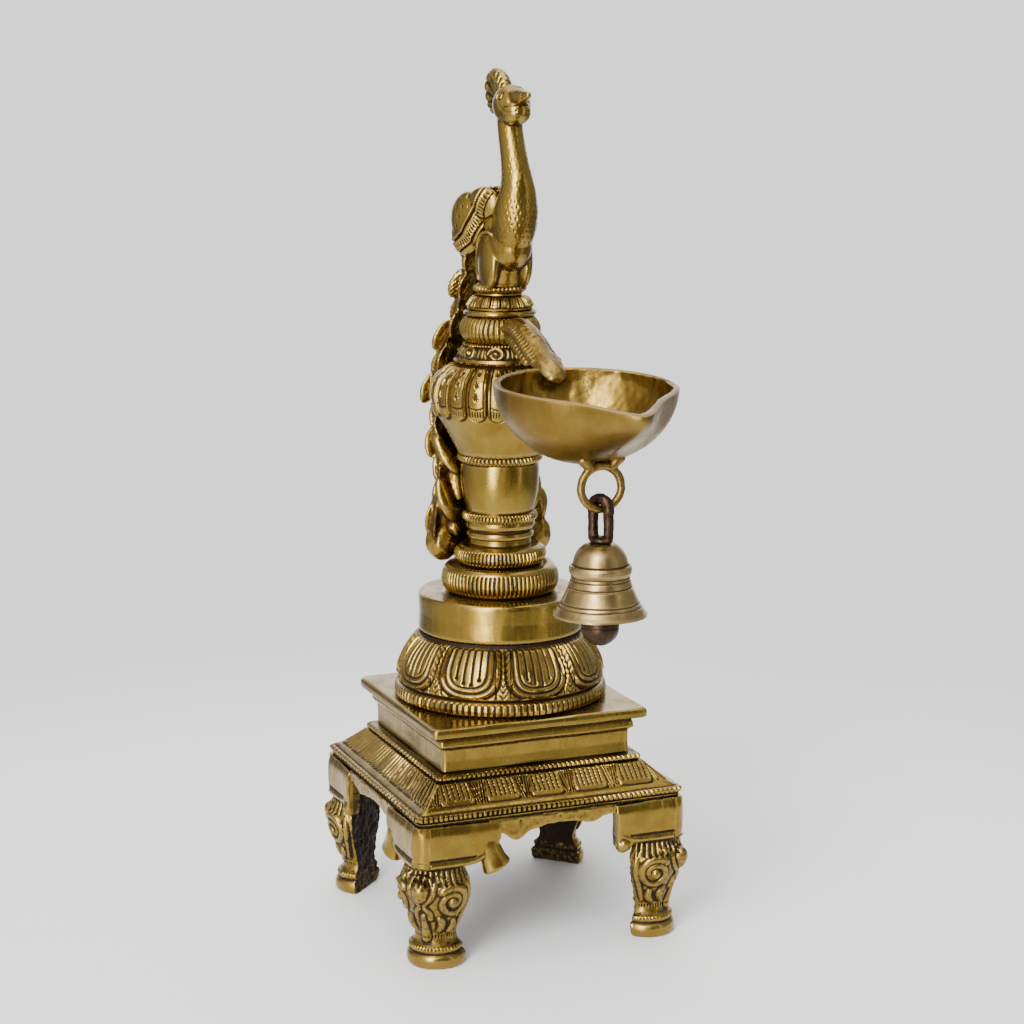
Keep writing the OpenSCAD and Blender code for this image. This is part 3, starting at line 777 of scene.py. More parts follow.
def plinth_relief(low):
    """Milled bead round the foot, hanging panels or rays on the slope, and a milled bead at the top."""
    slope_low, slope_high = low + 5.0, low + 11.1

    def beads(x, z, count, half, z_low, z_high, seed):
        at = np.stack([x, 0 * x + half, z + 0 * x], axis=-1)
        turn = (x / half + 1) * count / 2 + 0.18 * noise(at / 6, seed)
        band = smooth(z_low, z_low + 0.3, z) * (1 - smooth(z_high - 0.3, z_high, z))
        return 0.2 * band - 0.85 * groove(turn, 0.3) * band * (0.85 + 0.5 * noise(at / 7, seed + 1))

    def relief(x, side, z, half):
        coarse = side % 2
        rise = beads(x, z, 31 if coarse else 55, half, low + 1.2, low + 3.5, 60 + side)
        rise = rise + beads(x, z, 25 if coarse else 43, half, low + 11.7, low + 13.7, 70 + side)
        fan = x / half
        v = z - slope_low
        on = smooth(slope_low, slope_low + 0.3, z) * (1 - smooth(slope_high, slope_high + 0.3, z))
        at = np.stack([x, 0 * x + 50 * side, z + 0 * x], axis=-1)
        if coarse:
            rays = groove(fan * 16 + 0.2 * noise(at / 4, 81), 0.34) * (0.8 + 0.5 * noise(at / 5, 82))
            ragged = smooth(0.2, 0.9, v + 0.7 * noise(at / 3, 83))
            return rise - 1.0 * rays * on * ragged + 0.3 * on
        pitch = 17.0
        local = (x + 0.9 * noise(at / 20, 84)) / pitch
        from_middle = np.abs(local - np.round(local)) * pitch
        panel = 6.5 - 1.2 * v / 6
        edge = ((from_middle / panel) ** 4 + (np.maximum(2.6 - v, 0) / 2.6) ** 4) ** 0.25
        shape = (0.3 * (1 - smooth(0.93, 1.03, edge)) + 0.15 * bump(edge - 0.95, 0.07)
                 - 0.2 * bump(edge - 1.08, 0.06))
        strokes = groove(from_middle / 1.75 + 0.5, 0.24) * smooth(1.2, 1.7, v) * (from_middle < panel - 0.9)
        dots = 0.65 + 0.35 * np.sin(v * 7 + 3 * noise(at / 2, 85))
        between = groove((from_middle - panel) / 0.95, 0.34) * (edge > 1.03) * smooth(0.2, 0.8, v)
        return rise + on * (shape - 0.7 * strokes * dots - 0.75 * between)
    return relief


def square_piece(node, profile, per_side, finish, relief, wobble, dirt_and_shade):
    verts, faces = square(profile, per_side, relief, wobble)
    mesh = build_mesh(node + "_cast", verts, faces)
    add_piece(node + "_cast", mesh, finish, node, dirt_and_shade=dirt_and_shade)


def build_plinth():
    low, high = level("plinth_base")
    outer = [(48.2, 0), (49.3, 0.1), (49.5, 0.8), (49.0, 1.2), (49.3, 1.4), (50.1, 1.9), (50.2, 2.7),
             (49.6, 3.4), (48.6, 3.6), (48.3, 3.9), (47.5, 4.4), (45.9, 5.2), (40.2, 10.4), (39.2, 11.3),
             (38.1, 11.5), (38.3, 11.8), (38.9, 12.3), (38.9, 13.1), (38.2, 13.7), (36, 13.8)]
    inner = [(32.4, 13.8), (32.4, 9.4), (44.2, 3.0), (45.2, 0)]
    profile = np.concatenate([straight(lifted(outer, low), 0.36), lifted(inner, low)])

    def shade_below_and_seams(p, n):
        # Painted shade: downward-facing faces and the hollow inside near the foot are darkened; the seams
        # get dark residue.
        inside = np.maximum(np.abs(p[:, 0]), np.abs(p[:, 1])) < 46.6
        below = (n[:, 2] < -0.2) | (inside & (p[:, 2] < low + 4))
        seams = bump(p[:, 2] - low - 3.9, 0.9) + bump(p[:, 2] - low - 11.4, 0.6) + bump(p[:, 2] - high, 0.7)
        return 0.9 * below + 0.45 * seams * (1 + 0.6 * rough(p, 9, 41))
    square_piece("plinth_base", profile, 57 * 6, RELIEF, plinth_relief(low), 0.2, shade_below_and_seams)

    low, high = level("plinth_top")
    outer = [(35.0, 0), (35.8, 0.4), (35.6, 4), (35.7, 8.2), (36.2, 8.8), (36.9, 9.1), (37.2, 9.7),
             (37.1, 11.3), (36.7, 12.1), (36.9, 12.7), (38.6, 13.3), (40.2, 13.5), (40.7, 14.0),
             (40.75, 15.6), (40.5, 16.6), (39.8, 17.1), (37, 17.1), (30, 17.1)]
    inner = [(4.0, 17.1), (4.0, 11.1), (31.4, 11.1), (32.2, 10.3), (32.2, 0)]
    profile = np.concatenate([straight(lifted(outer, low), 0.5), lifted(inner, low)])

    def seams(p, n):
        # Painted shade on the hidden inside faces; dark seam lines and a dark ring round the seat's foot.
        inside = (np.maximum(np.abs(p[:, 0]), np.abs(p[:, 1])) < 32.5) & (p[:, 2] < high - 3)
        lines = (bump(p[:, 2] - low, 1.0) + 0.8 * bump(p[:, 2] - low - 12.3, 0.7)
                 + 0.6 * bump(p[:, 2] - low - 8.6, 0.6))
        ring = bump(np.hypot(p[:, 0], p[:, 1]) - 38.2, 1.2) * (p[:, 2] > high - 1)
        return 1.0 * inside + 0.5 * lines * (1 + rough(p, 12, 42)) + 0.6 * ring
    square_piece("plinth_top", profile, 170, POLISHED, None, 0.3, seams)


# ------------------------------------------------------------------ legs and brackets

LEG_AXIS = 40.4
BRACKET_TOP = 51.6
CORNER = 51.3
SHANK = [(0, 9.2), (0.7, 10.0), (2.6, 10.3), (4.2, 9.9), (5.0, 8.8), (5.5, 8.9), (6.3, 9.5), (7.3, 9.4),
         (8.2, 8.0), (9.8, 7.3), (11.5, 7.2), (15, 8.3), (20, 10.3), (25, 12.0), (29, 12.7), (31.5, 12.2),
         (34, 11.2), (36, 10.6), (40, 10.8), (BRACKET_TOP - 0.2, 10.8)]


def shank_radius(z):
    heights, radii = np.array(SHANK).T
    return np.interp(z, heights, radii)


def leg_to_world(local):
    """Local x runs outward along the corner's diagonal and y to its right; the leg is the front left one."""
    local = np.asarray(local, float)
    c = math.sqrt(0.5)
    x = -LEG_AXIS - c * local[..., 0] + c * local[..., 1]
    y = -LEG_AXIS - c * local[..., 0] - c * local[..., 1]
    return np.stack([x, y, local[..., 2]], axis=-1)


def world_to_leg(p):
    """The leg's own x, y and z of points near the front left leg."""
    c = math.sqrt(0.5)
    dx, dy = p[:, 0] + LEG_AXIS, p[:, 1] + LEG_AXIS
    return -c * (dx + dy), c * (dx - dy), p[:, 2]


def on_shank(turn_deg, z, out=0.0):
    """A point on the leg's skin, at an angle from the outward diagonal."""
    turn = np.radians(turn_deg)
    r = shank_radius(z) + out
    return leg_to_world(np.stack([r * np.cos(turn), r * np.sin(turn), np.asarray(z, float) + 0 * turn],
                                 axis=-1))


def shank_tube(points, radius):
    """A rib laid on the shank. points are (angle in degrees, height); radius is given per point."""
    points = np.asarray(points, float)
    path = on_shank(points[:, 0], points[:, 1], -0.15)
    return rounded(path, radius, step=0.5, sides=12, up=(0.3, -0.2, 1))


def shank_core():
    """The plain turned shape of a leg, cut flat on its inner side."""
    turn = np.linspace(0, TAU, 96, endpoint=False)
    rings = []
    for z, r in curved(SHANK, 0.8):
        x = np.maximum(r * np.cos(turn), -2.0)
        rings.append(leg_to_world(np.stack([x, r * np.sin(turn), 0 * turn + z], axis=-1)))
    return ring_stack(rings)


def shank_ornament():
    """Leaf, scrolls, arch and drop that stand out from the shank."""
    parts = [shank_tube([(0, 32.8), (0, 30), (0, 26.6), (0, 24.6)], [1.2, 3.2, 2.5, 0.9])]
    for side in (-1, 1):
        leaf_edge = [(0, 33.6), (11, 33.4), (21, 31.0), (19, 27.6), (9, 25.0), (1, 23.2)]
        parts.append(shank_tube([(side * a, z) for a, z in leaf_edge], [0.9, 0.95, 1.0, 1.0, 0.9, 0.8]))
        coil = []
        for turn in np.linspace(0, 1.7 * TAU, 26):
            reach = 5.8 - 4.0 * turn / (1.7 * TAU)
            coil.append((side * (54 - 4.9 * reach * math.cos(turn + 0.6)),
                         24.8 + reach * math.sin(turn + 0.6)))
        parts.append(shank_tube(coil, np.linspace(1.5, 0.9, len(coil))))
        parts.append(ball(on_shank(side * 54, 24.6, 0.1), (1.7, 1.7, 1.9)))
        parts.append(shank_tube([(side * 14, 17.4), (side * 13, 20.6), (side * 6, 22.6), (0, 23)],
                                [1, 1.1, 1.1, 1.1]))
        parts.append(shank_tube([(side * 30, 19.4), (side * 38, 16.6), (side * 31, 12.6)], [0.7, 1.5, 0.8]))
        parts.append(shank_tube([(side * 62, 18.4), (side * 66, 15.4), (side * 56, 12.4)], [0.7, 1.4, 0.8]))
        parts.append(shank_tube([(side * 84, 33), (side * 88, 27), (side * 86, 20), (side * 80, 13)],
                                [0.9, 1.3, 1.1, 0.8]))
        parts.append(shank_tube([(side * 26, 34.6), (side * 36, 32.4), (side * 46, 33.8)], [0.8, 1.3, 0.8]))
    parts.append(shank_tube([(0, 20.6), (0, 17), (0, 12), (0, 9)], [1.1, 1.3, 1.7, 1.2]))
    return parts


HOOF_END = [(0, BRACKET_TOP), (0, 39.2), (7, 38.7), (18, 39.0), (24, 39.4), (27, 41), (30, 43),
            (31.4, 45.4), (31.6, BRACKET_TOP)]
DROP_END = [(0, BRACKET_TOP), (0, 39.2), (7, 38.7), (17, 39.0), (20.4, 37.2), (22.6, 34.4), (25, 33.6),
            (26.8, 35.4), (27.2, 39.5), (27.0, 44), (27.4, BRACKET_TOP)]


def bracket(left_side, hoof):
    """One wall of the corner bracket. Without a hoof it ends in a plain rounded drop."""
    def place(along, height, depth):
        a, d = along - CORNER, depth - CORNER
        return np.stack([d, a, height] if left_side else [a, d, height], axis=-1)
    wall = straight(HOOF_END if hoof else DROP_END, 0.8)[:-1]
    parts = [slab_shape(wall if not left_side else wall[::-1], 0.2, 5.0, place)]
    lip = np.array([(0.9, 38.1), (7, 37.7), (15, 37.7), (21.5, 38.2), (26.0, 40.0)])
    parts.append(rounded(place(lip[:, 0], lip[:, 1], np.full(5, 1.25)), [1.5, 1.5, 1.5, 1.4, 1.2],
                         sides=14))
    if hoof:
        along, height = np.array([27.0, 27.6, 29.0, 30.6]), np.array([45.4, 41.6, 37.4, 33.8])
        depth = np.array([3.6, 2.5, 2.0, 1.9])
        parts.append(rounded(place(along, height, depth), [3.4, 4.0, 4.6, 5.8], [3.0, 3.0, 3.1, 4.1],
                             sides=24,
                             up=(1, 0, 0.05) if left_side else (0, 1, 0.05), dome=(1, 0.3)))
    else:
        parts.append(ball(place(np.array([24.8]), np.array([36.2]), np.array([1.6]))[0], (2.6, 2.4, 2.9)))
    return parts


def soften_corner(mesh):
    """Rounds the bracket's upright corner, swells its walls a little and leans their top edge inward."""
    radius_above, radius_below = 4.6, 5.1
    p = points_of(mesh)
    radius = np.where(p[:, 2] < 39.2, radius_below, radius_above)
    u, v = -p[:, 0] - (CORNER - radius), -p[:, 1] - (CORNER - radius)
    d = np.hypot(u, v)
    on = (u > 0) & (v > 0) & (d > radius - 0.2) & (p[:, 2] > 37)
    scale = np.where(on, (radius - 0.2) / np.maximum(d, 0.1), 1)
    p[:, 0] = np.where(on, -(CORNER - radius) - u * scale, p[:, 0])
    p[:, 1] = np.where(on, -(CORNER - radius) - v * scale, p[:, 1])
    lean = 0.8 * smooth(47.0, BRACKET_TOP, p[:, 2]) ** 2
    lean -= 0.15 * smooth(40.0, 43.5, p[:, 2]) * smooth(50.5, 46.0, p[:, 2])
    for axis in (0, 1):
        outer = smooth(-CORNER + 1.6, -CORNER + 0.4, p[:, axis])
        p[:, axis] += lean * outer
    move_points(mesh, p)


def leg_mesh(name, hoof):
    """The front left leg with its bracket. The other legs are turned or mirrored copies of such a mesh."""
    parts = [shank_core()] + shank_ornament() + bracket(False, hoof) + bracket(True, hoof)
    mesh = fused(name, parts, 0.36)

    def carve(p, n):
        x, y, z = world_to_leg(p)
        turn, out = np.arctan2(y, x), np.hypot(x, y)
        round_side = smooth(-0.5, 1.0, x) * smooth(-1.2, 0.2, shank_radius(z) + 2.5 - out) * (z < 39)
        ribs = groove(turn * 34 / TAU, 0.36) * smooth(30.5, 31.5, z) * (1 - smooth(35.8, 36.6, z))
        beads = groove(turn * 44 / TAU, 0.34) * (bump(z - 11.2, 0.9) + bump(z - 6.9, 1.1))
        flat = bump(x + 2, 0.5) * (z < 38)
        across = np.maximum(p[:, 0], p[:, 1]) + CORNER
        undercut = bump(z - 39.6, 0.8) * (np.minimum(p[:, 0], p[:, 1]) < -CORNER + 1.2) * (across < 22)
        return (-0.55 * ribs * round_side - 0.45 * beads * round_side + 0.5 * flat * rough(p, 2.2, 90)
                - 0.28 * undercut + 0.18 * rough(p, 11, 91))
    push(mesh, carve)
    soften_corner(mesh)
    return mesh


def leg_shade_and_seams(sx, sy):
    """Painted shade on the flat back, the inward faces and the parts behind the apron of a leg, and over its
    relief band, plus dark seams.
    """
    def dirt_and_shade(p, n):
        q = p * np.array([-sx, -sy, 1.0])
        m = n * np.array([-sx, -sy, 1.0])
        x, y, z = world_to_leg(q)
        deep = smooth(-50.0, -48.6, np.minimum(q[:, 0], q[:, 1]))
        near_shank = np.abs(y) < 12
        flat_back = (x < -1.6) * (z < 38) * near_shank
        inward = smooth(0.3, 0.8, (m[:, 0] + m[:, 1]) * 0.7071) * deep + flat_back * 0.6
        behind = smooth(-1.0, 1.5, np.minimum(q[:, 0], q[:, 1]) + 46.6) * (z > 38)
        seam = bump(z - 5.1, 0.6) + bump(z - 36.4, 1.2) * (np.hypot(x, y) < 14) + 0.5 * bump(z - 39, 0.8)
        # Painted shade: the whole relief band is darkened so that its recesses read darker.
        low_relief = 0.42 * (z > 8) * (z < 37) * near_shank
        return np.clip(inward + behind, 0, 1) * 0.8 + 0.6 * seam + low_relief
    return dirt_and_shade


def build_legs():
    lump_size, unevenness = 11, 0.2
    meshes = {True: leg_mesh("hoofed_leg", True), False: leg_mesh("plain_leg", False)}
    places = {"leg_front_left": (-1, -1, True), "leg_front_right": (1, -1, False),
              "leg_rear_left": (-1, 1, False), "leg_rear_right": (1, 1, False)}
    for node, (sx, sy, hoof) in places.items():
        mesh = meshes[hoof].copy()
        co = points_of(mesh) * np.array([-sx, -sy, 1.0])
        co = co + unevenness * noise(co / lump_size, 95)[:, None] * np.array([1.0, 1.0, 0.0])
        co[:, 2] = np.maximum(co[:, 2], 0)
        mesh.vertices.foreach_set("co", (co * MM).ravel())
        if sx * sy < 0:
            mesh.flip_normals()
        mesh.update()
        mesh.name = node + "_cast"
        add_piece(node + "_cast", mesh, RELIEF, node, dirt_and_shade=leg_shade_and_seams(sx, sy))
    for mesh in meshes.values():
        bpy.data.meshes.remove(mesh)


def build_apron():
    """Thin cast fins that close the rim between the brackets, with a ragged lower edge."""
    parts = []
    for side in range(4):
        turn = side * math.pi / 2

        def place(x, z, y, turn=turn):
            return np.stack([x * math.cos(turn) - y * math.sin(turn),
                             x * math.sin(turn) + y * math.cos(turn), z], axis=-1)
        x = np.linspace(-24, 24, 60)
        drop = 48.0 + 0.7 * noise(np.stack([x / 5, 0 * x + side, 0 * x], axis=-1), 97)
        drop -= ((4.6 if side == 0 else 2.0) * np.exp(-((x + 13) / 5.5) ** 2)
                 + 1.6 * np.exp(-((x - 15) / 4) ** 2))
        outline = np.column_stack([np.concatenate([x, x[::-1]]),
                                   np.concatenate([drop, np.full(60, BRACKET_TOP)])])
        parts.append(slab_shape(outline, -50.2, -47.4, place))
    mesh = fused("apron_strips_cast", parts, 0.42)
    push(mesh, lambda p, n: 0.25 * rough(p, 5, 98))
    # Painted shade on the fins' inner faces; the outer faces get a slight even darkening.
    add_piece("apron_strips_cast", mesh, RELIEF, "apron_strips",
              dirt_and_shade=lambda p, n: 0.25 + 0.7 * (np.maximum(np.abs(p[:, 0]), np.abs(p[:, 1])) < 48.4))


# ------------------------------------------------------------------ peacock

NECK = [  # height, middle in Y, half width, half depth
    (244.5, -8.0, 3.0, 3.0), (246.4, -10.4, 5.6, 6.4), (250, -12.8, 7.1, 8.2), (254.5, -14.4, 7.6, 8.6),
    (259, -15.6, 7.4, 8.0), (263, -16.4, 6.5, 6.8), (267, -16.2, 5.7, 5.8), (272, -14.6, 5.0, 5.0),
    (278, -12.2, 4.6, 4.6), (284, -10.0, 4.4, 4.4), (289, -9.2, 4.4, 4.6), (293, -9.4, 4.4, 4.6),
]


def build_bird():
    foot = level("peacock_body")[0]
    neck = np.array(NECK)
    path = np.column_stack([0 * neck[:, 0], neck[:, 1], neck[:, 0]])
    parts = [rounded(path, neck[:, 3], neck[:, 2], step=0.8, sides=40, up=(1, 0, 0), dome=(1, 0))]
    parts.append(ball((0, 0.6, 252.4), (8.8, 13.6, 8.6)))
    parts.append(ball((0, -8.6, 245.4), (7.8, 10.4, 9.4)))
    bud = [(0, -0.5, foot), (0, -1.5, foot + 4.4), (0, -2, foot + 9.4), (0, -2.5, foot + 13.4),
           (0, -2.5, foot + 17)]
    parts.append(rounded(bud, [8, 9.2, 11, 12.4, 9], [7.4, 7.2, 7.5, 8.2, 6.5], step=0.8, sides=40,
                         up=(1, 0, 0),
                         dome=(0, 0.4)))
    parts.append(ball((0, -11.0, 293.4), (6.6, 7.6, 7.0)))
    parts.append(ball((0, -14.4, 291.2), (5.4, 6.0, 4.9)))
    parts.append(rounded([(0, -11, 295.4), (0, -17.5, 296.0), (0, -22, 296.2), (0, -27.2, 296.8)],
                         [3.4, 3.2, 2.3, 0.9], [3.2, 3.0, 2.2, 0.9], step=0.6, sides=24, up=(0, 0, 1)))
    for side in (-1, 1):
        parts.append(ball((side * 6.2, -5.0, foot + 8.6), (3.2, 7.4, 11.0)))
        edge = [(side * 5.6, -12.6, foot + 15), (side * 8.3, -8.4, foot + 18.4),
                (side * 9.3, -3.4, foot + 16), (side * 8.8, -0.2, foot + 10), (side * 8.2, 1.0, foot + 5),
                (side * 7.8, 1.2, foot + 0.8)]
        parts.append(rounded(edge, [0.5, 0.6, 0.7, 0.6, 0.6, 0.5], step=0.6, sides=12, up=(0.2, 1, 0)))
    mesh = fused("peacock_body_cast", parts, 0.34, 2)

    def carve(p, n):
        x, y, z = p.T
        middle = np.interp(z, neck[:, 0], neck[:, 1])
        turn = np.arctan2(x, -(y - middle))
        front = (z > 246) & (z < 289) & (y < -4)
        rows = z / 2.0
        stagger = 0.5 * (np.floor(rows) % 2)
        dashes = groove(turn * 26 / TAU + stagger, 0.22) * bump(rows - np.floor(rows) - 0.5, 0.36)
        fade = 0.3 + 0.6 * smooth(-0.3, 0.5, noise(p / 7, 101))
        rise = -0.3 * dashes * front * fade
        mouth = bump(z - 292.6 + 0.12 * (y + 14), 0.4) * (y < -15.5) * (y > -21)
        rise -= 0.3 * mouth
        cheek = np.hypot(y + 18.5, z - 296.2)
        rise -= 0.25 * bump(cheek - 5.2, 0.5) * (np.abs(x) > 1.5) * (z > 290) * (y < -12)
        eye = np.hypot(y + 13.4, z - 296.4)
        rise -= 0.5 * bump(eye - 1.3, 0.4) * (np.abs(x) > 3)
        chevrons = groove((z - 0.7 * np.abs(y + 8)) / 1.9, 0.25)
        rise -= 0.4 * chevrons * (np.abs(x) > 3.2) * (y > -8.4) * (z > 289) * (z < 300)
        return rise + 0.1 * rough(p, 6, 102)
    push(mesh, carve)

    def dirt(p, n):
        # Dark creases at the foot and round the neck, and painted shade over the back behind y = 6.
        y, z = p[:, 1], p[:, 2]
        creases_and_back_shade = bump(z - foot, 1.6) + bump(np.hypot(y + 10, z - 245) - 2, 2.5) * 0.5 + 0.6 * (y > 6)
        return 0.55 * creases_and_back_shade
    add_piece("peacock_body_cast", mesh, POLISHED, "peacock_body", dirt_and_shade=dirt)


def build_crest():
    """Fan standing on the back of the head: a thick rounded rim with flutes that spread from its root."""
    centre_y, centre_z = 1.6, 298.2
    root_y, root_z = -3.6, 294.4
    reach = np.array([8.6, 7.4, 7.2, 7.0, 6.6, 6.6, 7.4, 7.2, 6.4, 6.0, 6.6, 8.0])
    turn = np.linspace(0, TAU, 12, endpoint=False) + math.radians(200)
    outline = curved(np.column_stack([centre_y + reach * np.cos(turn),
                                      centre_z + reach * np.sin(turn)]).tolist()
                     + [[centre_y + reach[0] * math.cos(turn[0]),
                         centre_z + reach[0] * math.sin(turn[0])]], 0.6)[:-1]

    def place(y, z, x):
        return np.stack([x, y, z], axis=-1)
    parts = [slab_shape(outline, -1.9, 1.9, place)]
    inset = np.array([centre_y, centre_z]) + (outline - [centre_y, centre_z]) * 0.84
    parts.append(loop_tube(np.column_stack([0 * inset[:, 0], inset]), 2.6, 18))
    parts.append(ball((0, -4.6, 295.6), (3.0, 4.4, 4.4)))
    mesh = fused("peacock_crest_cast", parts, 0.3, 2)

    def carve(p, n):
        y, z = p[:, 1] - root_y, p[:, 2] - root_z
        turn, out = np.arctan2(z, y), np.hypot(z, y)
        flutes = groove(turn * 11 / math.pi, 0.34) * smooth(3.0, 5.5, out)
        return -0.55 * flutes * (0.25 + 0.75 * smooth(0.3, 0.8, np.abs(n[:, 0]))) + 0.08 * rough(p, 4, 104)
    push(mesh, carve)
    add_piece("peacock_crest_cast", mesh, RELIEF, "peacock_crest",
              dirt_and_shade=lambda p, n: 0.25 * (p[:, 2] < 293))


# Outline of a wing seen square on: [distance towards the tail, height]
WING = [(-12.6, 266.0), (-7.2, 265.6), (-1.2, 263.8), (5.2, 259.8), (9.6, 254), (11.2, 248.4),
        (10.8, 243.6), (9.0, 240.6), (5.2, 240.8), (-1.0, 244.6), (-6.2, 251.8), (-9.4, 259.6)]
WING_FRONT = [(-13.0, 266.8), (-9.8, 259.6), (-6.2, 251.8), (-1.0, 244.6), (5.2, 240.8), (9.2, 239.6)]


def build_wing(side, name, node):
    """Shield-shaped wing: a plain rim and a milled band along the front edge, a ridge, and a dotted dome."""
    back = np.array([side * 0.40, 0.917, 0.0])
    outward = np.array([side * 0.917, -0.40, 0.0])
    middle = np.array([side * 9.2, -0.4, 0.0])
    outline = curved(WING + WING[:1], 0.8)[:-1]

    def place(along, height, depth):
        bend = depth - 0.026 * along ** 2
        return (middle + along[:, None] * back + bend[:, None] * outward
                + height[:, None] * np.array([0, 0, 1.0]))
    if side > 0:
        outline = outline[::-1]
    parts = [slab_shape(outline, -3.4, 0.6, place)]
    for along, height, size in ((3.2, 254.0, (8.0, 4.4, 9.6)), (5.6, 248.6, (6.2, 3.6, 7.6)),
                                (-4.0, 259.8, (7.6, 3.4, 5.6))):
        centre = place(np.array([along]), np.array([height]), np.array([0.3]))[0]
        turn = np.stack([back, outward, np.array([0, 0, 1.0])], axis=1)
        parts.append(ball(centre, size, turn))
    mesh = fused(name, parts, 0.3, 2)

    def carve(p, n):
        q = p - middle
        along, height = q @ back, p[:, 2]
        facing = smooth(0.1, 0.5, n @ outward)
        d = to_line(along, height, WING_FRONT)
        run = np.arctan2(height - 262, along - 12) * 22 / 1.5 + 0.25 * d
        rise = 0.25 * (d < 1.5) - 0.6 * bump(d - 1.9, 0.4)
        rise -= 0.5 * groove(run, 0.3) * bump(d - 3.4, 1.6)
        rise += 0.3 * bump(d - 5.2, 0.6) - 0.9 * bump(d - 6.1, 0.5) + 0.3 * bump(d - 7.0, 0.6)
        cell = np.stack([along / 2.9, height / 3.4], axis=-1)
        cell[:, 0] += 0.5 * (np.round(cell[:, 1]) % 2)
        off = np.hypot((cell[:, 0] - np.round(cell[:, 0])) * 2.9, (cell[:, 1] - np.round(cell[:, 1])) * 3.4)
        rise -= 0.45 * bump(off, 0.7) * (d > 8.4)
        return rise * facing + 0.08 * rough(p, 5, 106)
    push(mesh, carve)
    # Painted shade on the wing's inner side, facing the body.
    add_piece(name, mesh, RELIEF, node, dirt_and_shade=lambda p, n: 0.5 * (n @ outward < -0.1))


TRAIN = [  # height, middle in Y, half width
    (246, 15.2, 4.4), (240, 17.4, 6.2), (231, 20, 7), (216, 23, 10), (207, 25, 13.4),
    (200, 26.6, 15.8), (192, 27.9, 17.2), (184, 26.8, 17.6), (176, 23.9, 17.8), (169, 20.2, 18.2),
    (162, 18.2, 19.2), (152, 17.7, 20.6), (142, 18.6, 21.6), (136, 19.3, 21.2), (132.5, 19.5, 18.6),
]
FEATHER_ROWS = (239, 229.5, 220, 210.5, 201, 192, 183, 174, 165.5)


def train_at(z):
    """Middle in Y and half width of the train at a height."""
    t = np.array(TRAIN)[::-1]
    return np.interp(z, t[:, 0], t[:, 1]), np.interp(z, t[:, 0], t[:, 2])


TRAIN_BEND = 0.015  # how fast the train curves back towards its edges


def train_frame(x, z):
    """Middle of the train's plate at (x, z), with its directions: across, outward at the back, and down."""
    def at(x, z):
        return np.array([x, train_at(z)[0] - TRAIN_BEND * x * x, z])
    here = at(x, z)
    down = at(x, z - 3) - at(x, z + 3)
    down /= np.linalg.norm(down)
    across = at(x + 1, z) - at(x - 1, z)
    across /= np.linalg.norm(across)
    outward = np.cross(across, down)
    outward /= np.linalg.norm(outward)
    if outward[1] < 0:
        outward = -outward
    return here, across, outward, down


def feather(x, z, width, length, lean=0.0, lift=14, face=1, thick=1.3, plain=False):
    """One leaf-shaped feather. lift is how far its tip stands off the train and lean how far it turns
    towards +X, both in degrees. face is 1 for the back of the train and -1 for its front, and a plain
    feather has no rim or rib."""
    here, across, outward, down = train_frame(x, z)
    outward = outward * face
    a, b = math.radians(lift), math.radians(lean)
    along = down * math.cos(a) + outward * math.sin(a)
    along = along * math.cos(b) + across * math.sin(b)
    along /= np.linalg.norm(along)
    wide = np.cross(outward, along)
    wide /= np.linalg.norm(wide)
    high = np.cross(along, wide)
    centre = here + outward * 2.2
    turn = np.stack([wide, high, along], axis=1)
    parts = [ball(centre, (width / 2, thick, length / 2), turn, 16, 24)]
    if plain:
        return parts
    loop = []
    for t in np.linspace(0, TAU, 30, endpoint=False):
        taper = 1 - 0.28 * max(0, math.cos(t)) ** 2
        loop.append(centre + wide * (width / 2 * 0.93 * math.sin(t) * taper)
                    + along * (length / 2 * 0.96 * math.cos(t))
                    + high * 0.35)
    parts.append(loop_tube(np.array(loop), 0.62))
    rib = np.array([centre - along * length * 0.42 + high * thick * 0.62, centre + high * thick * 0.95,
                    centre + along * length * 0.42 + high * thick * 0.55])
    parts.append(rounded(rib, [0.45, 0.6, 0.45], step=0.6, sides=10, up=tuple(wide)))
    return parts


